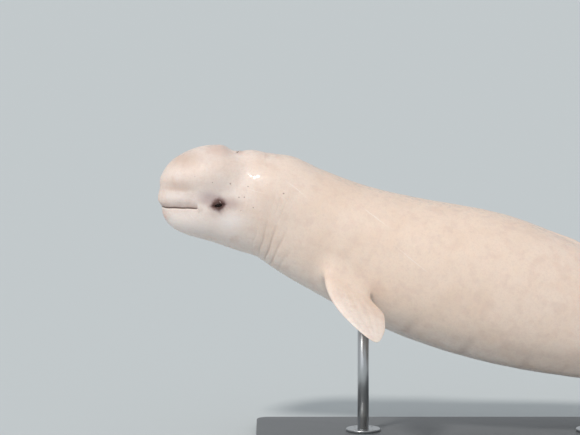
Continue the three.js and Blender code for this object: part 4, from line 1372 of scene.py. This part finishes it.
# The patches lie deepest, then the painted shade and stains, and the specks, scratches and painted glint over
# them.
for layer in patches + PAINTED_SHADE_AND_STAINS + marks:
    *measured, code, strength = layer
    if layer in PAINTED_SHADE_AND_STAINS:
        name, start, end, stray = measured
        measure = add_node(tree, "Attribute", {"attribute_name": name})
        drift = add_node(tree, "MapRange", {}, {0: wander.outputs[0], 3: -stray, 4: stray})
        measure = {0: measure.outputs["Fac"], 1: drift.outputs[0]}
        measure = add_node(tree, "Math", {"operation": "ADD"}, measure)
        shade_and_stain_range = {0: measure.outputs[0], 1: start, 2: end, 4: strength}
        cover = add_node(tree, "MapRange", SOFT, shade_and_stain_range).outputs[0]
    else:
        start, centre, reach, slope = measured
        cover = patch_cover(tree, start.outputs[0], centre, reach, MARK_FADES, strength, slope)
    tint = {0: cover, 6: colour.outputs[2], 7: linear_colour(code)}
    colour = add_node(tree, "Mix", COLOURS, tint)
tree.links.new(colour.outputs[2], shader.inputs["Base Color"])

wet = add_node(tree, "TexNoise", {}, {"Vector": pattern_place, "Scale": 1 / WET_SIZE, "Detail": 4.0})
coat = {0: wet.outputs[0], 1: WET_SHOWS[0], 2: WET_SHOWS[1], 3: WET_COAT[0], 4: WET_COAT[1]}
coat = add_node(tree, "MapRange", SOFT, coat).outputs[0]
for along, high, half_length, half_high in WET_PATCHES:
    centre, reach = (along, 0, high), (half_length, 1, half_high)
    patch = patch_cover(tree, ragged.outputs[0], centre, reach, WET_PATCH_FADES, WET_PATCH_COAT)
    coat = add_node(tree, "Math", {"operation": "MAXIMUM"}, {0: coat, 1: patch}).outputs[0]
tree.links.new(coat, shader.inputs["Coat Weight"])
(start, end), (dry, wettest) = SMOOTHER_SHOWS, SKIN_ROUGHNESS
rough = add_node(tree, "MapRange", SOFT, {0: wet.outputs[0], 1: start, 2: end, 3: dry, 4: wettest})
tree.links.new(rough.outputs[0], shader.inputs["Roughness"])
normal = None
for (long, high), tall in GRAIN:
    scale = {0: pattern_place, 1: (1 / long, 1 / high, 1 / high)}
    scaled = add_node(tree, "VectorMath", {"operation": "MULTIPLY"}, scale)
    cloud = add_node(tree, "TexNoise", {}, {"Vector": scaled.outputs[0], "Scale": 1.0, "Detail": 2.0})
    grain = {"Strength": 1.0, "Distance": tall / 1000, "Height": cloud.outputs[0]}
    if normal is not None:
        grain["Normal"] = normal
    normal = add_node(tree, "Bump", {}, grain).outputs["Normal"]
tree.links.new(normal, shader.inputs["Normal"])
whale_skin.data.materials.append(skin_material)
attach(whale_skin, "root")
SKIN_NODES = ["head", "lower_jaw", "neck", "chest", "abdomen", "loins", "tail_stock"]
SKIN_NODES += ["flipper_left", "flipper_right", "fluke_left", "fluke_right"]
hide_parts(*SKIN_NODES)

# The eyes.
# Each eye is a dark, wet ball that bulges a little at the clear front, with a brown iris round a wide
# black pupil. It sits in the socket behind the lids.

CORNEA = (0.0010, math.radians(17))
IRIS_DEG = 27
EYE_RINGS = 48
EYE_SIDES = 64
# Colours from the middle of the pupil to the rim of the iris: share of the way, and the colour.
EYE_COLOURS = [(0.0, "#060404"), (0.42, "#070505"), (0.50, "#2a1811"), (0.88, "#20130e"), (1.0, "#1b110e")]
# Fibres of the iris: how many go across the ball, how much of the noise shows, strength and colour.
IRIS_FIBRES = (900.0, (0.45, 0.7), 0.35, "#120b09")

# A clear, wet cornea over a dark iris: nearly black, with one small, sharp glint.
eye_material, tree, shader = new_material(
    "wet_eye",
    {
        "Roughness": 0.15,
        "Coat Weight": 0.35,
        "Coat Roughness": 0.03,
        "Coat IOR": 1.34,
        "Specular IOR Level": 0.1,
    },
)
angle = add_node(tree, "Attribute", {"attribute_name": "off_axis_deg"})
share = add_node(tree, "Math", {"operation": "DIVIDE"}, {0: angle.outputs["Fac"], 1: IRIS_DEG})
ramp = add_node(tree, "ValToRGB", {}, {"Fac": share.outputs[0]})
while len(ramp.color_ramp.elements) < len(EYE_COLOURS):
    ramp.color_ramp.elements.new(0.5)
for stop, (position, code) in zip(ramp.color_ramp.elements, EYE_COLOURS):
    stop.position = position
    stop.color = linear_colour(code)
count, (start, end), strength, code = IRIS_FIBRES
fibres = add_node(tree, "TexNoise", {}, {"Scale": count, "Detail": 3.0})
cover = add_node(tree, "MapRange", SOFT, {0: fibres.outputs[0], 1: start, 2: end, 4: strength})
iris = {0: cover.outputs[0], 6: ramp.outputs[0], 7: linear_colour(code)}
tree.links.new(add_node(tree, "Mix", COLOURS, iris).outputs[2], shader.inputs["Base Color"])

for side, name in ((-1, "eye_left"), (1, "eye_right")):
    skin, out, back, up = eye_frames[side]
    middle = skin - out * EYEBALL_DEPTH
    angles = math.pi * np.arange(1, EYE_RINGS) / EYE_RINGS
    around = 2 * math.pi * np.arange(EYE_SIDES) / EYE_SIDES
    rings = []
    for angle in angles:
        radius = EYEBALL_RADIUS + CORNEA[0] * bell(angle, CORNEA[1])
        across = np.outer(np.cos(around), back) + np.outer(np.sin(around), up)
        rings.append(middle + radius * (math.cos(angle) * out + math.sin(angle) * across))
    eye = ringed_mesh(name + "_ball", rings, (0.0, 1.0))
    points = coordinates(eye.data)
    ways = points - middle
    cosines = ways @ out / np.linalg.norm(ways, axis=1)
    add_values(eye.data, "off_axis_deg", np.degrees(np.arccos(np.clip(cosines, -1, 1))))
    move_points(eye, bend_with_spine(points) + whale_place)
    eye.data.materials.append(eye_material)
    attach(eye, "root")
    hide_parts(name)

# The stand.
# A painted board with its edges rounded over carries two brushed steel rods. Each rod stands in a round
# foot that four countersunk screws hold down, and a black rubber collar cushions its top on the belly.

BASE_ROUND = 0.006
BASE_ROUND_STEPS = 5
BASE_CORNER = 0.060
BASE_CORNER_STEPS = 14
FOOT_BEVEL = 0.0035
FOOT_BEVEL_STEPS = 6
ROD_RADIUS = 0.028
# The flat top of a foot ends in a ring this far outside the rod.
FOOT_TOP_RING = (0.004, 0.002)
SCREW_CIRCLE = 0.062
SCREW_COUNT = 4
SCREW_RADIUS = 0.0065
# A screw's head from its rim to its recess: share of the radius, and height over the foot.
SCREW_HEAD = [(1.0, -0.0020), (1.0, 0.0004), (0.8, 0.0011), (0.45, 0.0013), (0.42, -0.0008)]
# A collar's section: distance from the rod's axis, and height over the skin.
COLLAR_SECTION = [
    (0.0275, -0.030),
    (0.0320, -0.030),
    (0.0360, -0.026),
    (0.0360, -0.004),
    (0.0360, 0.001),
    (0.0275, 0.001),
]
ROUND_STEPS = 96
# Patterns, counted across the piece: the paint's shades and its stipple, and the rubber's bloom. The
# brush lines are about 0.4 mm apart up the rod and 25 mm long.
PAINT_SHADES = 5.0
PAINT_STIPPLE = 700.0
PAINT_STIPPLE_DEEP = 0.00025
RUBBER_BLOOM = 90.0
BRUSHING = (40, 40, 2600)
BRUSHING_DEEP = 0.00006
BRUSHED_ROUGHNESS = (0.24, 0.40)


def board(name, low, high):
    """A board with round corners, its upper and lower edges rounded over."""
    half = [(high[axis] - low[axis]) / 2 for axis in (0, 1)]
    middle = [(high[axis] + low[axis]) / 2 for axis in (0, 1)]
    rings = []
    for top in (False, True):
        for step in range(BASE_ROUND_STEPS + 1):
            turn = math.pi / 2 * step / BASE_ROUND_STEPS
            inset = BASE_ROUND * (1 - (math.cos(turn) if top else math.sin(turn)))
            rise = BASE_ROUND * ((math.sin(turn) - 1) if top else (1 - math.cos(turn)))
            level = high[2] + rise if top else low[2] + rise
            ring = []
            for quarter, (x_way, y_way) in enumerate([(1, 1), (-1, 1), (-1, -1), (1, -1)]):
                for corner_step in range(BASE_CORNER_STEPS + 1):
                    angle = math.pi / 2 * (quarter + corner_step / BASE_CORNER_STEPS)
                    radius = BASE_CORNER - inset
                    x = middle[0] + x_way * (half[0] - BASE_CORNER) + radius * math.cos(angle)
                    y = middle[1] + y_way * (half[1] - BASE_CORNER) + radius * math.sin(angle)
                    ring.append((x, y, level))
            rings.append(np.array(ring))
    return ringed_mesh(name, rings, (0.0, 1.0))


def turned(name, centre, profile):
    """A turned part from its profile of (radius, height), standing on the centre."""
    around = 2 * math.pi * np.arange(ROUND_STEPS) / ROUND_STEPS
    rings = []
    for radius, level in profile:
        ring = [centre[0] + radius * np.cos(around), centre[1] + radius * np.sin(around)]
        rings.append(np.column_stack(ring + [np.full(ROUND_STEPS, centre[2] + level)]))
    return ringed_mesh(name, rings, (0.0, 1.0))


# Eggshell paint, rolled on board: an even, dull grey with a faint stipple.
board_paint, tree, shader = new_material("board_paint", {"Roughness": 0.55, "Coat Weight": 0.08})
cloud = add_node(tree, "TexNoise", {}, {"Scale": PAINT_SHADES, "Detail": 5.0})
tones = {0: cloud.outputs[0], 6: linear_colour("#5d6063"), 7: linear_colour("#66696c")}
tree.links.new(add_node(tree, "Mix", COLOURS, tones).outputs[2], shader.inputs["Base Color"])
stipple = add_node(tree, "TexNoise", {}, {"Scale": PAINT_STIPPLE, "Detail": 2.0})
stipple = {"Strength": 1.0, "Distance": PAINT_STIPPLE_DEEP, "Height": stipple.outputs[0]}
bump = add_node(tree, "Bump", {}, stipple)
tree.links.new(bump.outputs["Normal"], shader.inputs["Normal"])

# Stainless steel, brushed round: fine rings that draw the lamps out into tall, soft streaks.
steel, tree, shader = new_material("brushed_steel", {"Metallic": 1.0, "Roughness": 0.3})
where = add_node(tree, "TexCoord")
rub = add_node(tree, "VectorMath", {"operation": "MULTIPLY"}, {0: where.outputs["Object"], 1: BRUSHING})
lines = add_node(tree, "TexNoise", {}, {"Vector": rub.outputs[0], "Scale": 1.0, "Detail": 2.0})
tones = {0: lines.outputs[0], 6: linear_colour("#b4b6b8"), 7: linear_colour("#c9cbcc")}
tree.links.new(add_node(tree, "Mix", COLOURS, tones).outputs[2], shader.inputs["Base Color"])
smoothest, roughest = BRUSHED_ROUGHNESS
rough = add_node(tree, "MapRange", {}, {0: lines.outputs[0], 3: smoothest, 4: roughest})
tree.links.new(rough.outputs[0], shader.inputs["Roughness"])
bump = add_node(tree, "Bump", {}, {"Strength": 1.0, "Distance": BRUSHING_DEEP, "Height": lines.outputs[0]})
tree.links.new(bump.outputs["Normal"], shader.inputs["Normal"])

# Moulded black rubber: dull, and a little greyer where it has bloomed.
rubber, tree, shader = new_material("black_rubber", {"Roughness": 0.6, "Specular IOR Level": 0.4})
cloud = add_node(tree, "TexNoise", {}, {"Scale": RUBBER_BLOOM, "Detail": 4.0})
tones = {0: cloud.outputs[0], 6: linear_colour("#1d1d1e"), 7: linear_colour("#2b2b2c")}
tree.links.new(add_node(tree, "Mix", COLOURS, tones).outputs[2], shader.inputs["Base Color"])

base = board("stand_board", *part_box("stand_base"))
base.data.materials.append(board_paint)
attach(base, "root")
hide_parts("stand_base")

skin_tree = tree_of(whale_skin)
for end in ("front", "rear"):
    low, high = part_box("stand_foot_" + end)
    centre = ((low[0] + high[0]) / 2, (low[1] + high[1]) / 2, low[2])
    radius, tall = (high[0] - low[0]) / 2, high[2] - low[2]
    profile = [(radius, 0.0), (radius, tall - FOOT_BEVEL)]
    for step in range(1, FOOT_BEVEL_STEPS + 1):
        turn = math.pi / 2 * step / FOOT_BEVEL_STEPS
        inset = FOOT_BEVEL * (1 - math.cos(turn))
        profile.append((radius - inset, tall - FOOT_BEVEL * (1 - math.sin(turn))))
    profile += [(ROD_RADIUS + outside, tall) for outside in FOOT_TOP_RING]
    foot = turned("rod_foot_" + end, centre, profile)
    screws = []
    for corner in range(SCREW_COUNT):
        angle = math.pi / 4 + 2 * math.pi / SCREW_COUNT * corner
        x, y = centre[0] + SCREW_CIRCLE * math.cos(angle), centre[1] + SCREW_CIRCLE * math.sin(angle)
        head = [(SCREW_RADIUS * share, level) for share, level in SCREW_HEAD]
        screws.append(turned("foot_screw_" + end, (x, y, high[2]), head))

    low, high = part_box("stand_rod_" + end)
    rod_foot = (centre[0], centre[1], low[2])
    rod = turned("rod_" + end, rod_foot, [(ROD_RADIUS, 0), (ROD_RADIUS, high[2] - low[2])])
    collar_rings = []
    around = 2 * math.pi * np.arange(ROUND_STEPS) / ROUND_STEPS
    for reach, over in COLLAR_SECTION:
        ring = []
        for angle in around:
            x, y = centre[0] + reach * math.cos(angle), centre[1] + reach * math.sin(angle)
            belly = skin_tree.ray_cast((x, y, low[2]), (0, 0, 1))[0]
            ring.append((x, y, belly[2] + over))
        collar_rings.append(np.array(ring))
    collar = ringed_mesh("rod_collar_" + end, collar_rings, (0.0, 1.0))
    finishes = [(foot, steel), (rod, steel), (collar, rubber)] + [(screw, steel) for screw in screws]
    for piece, finish in finishes:
        piece.data.materials.append(finish)
        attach(piece, "root")
    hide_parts("stand_foot_" + end)
    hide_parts("stand_rod_" + end)
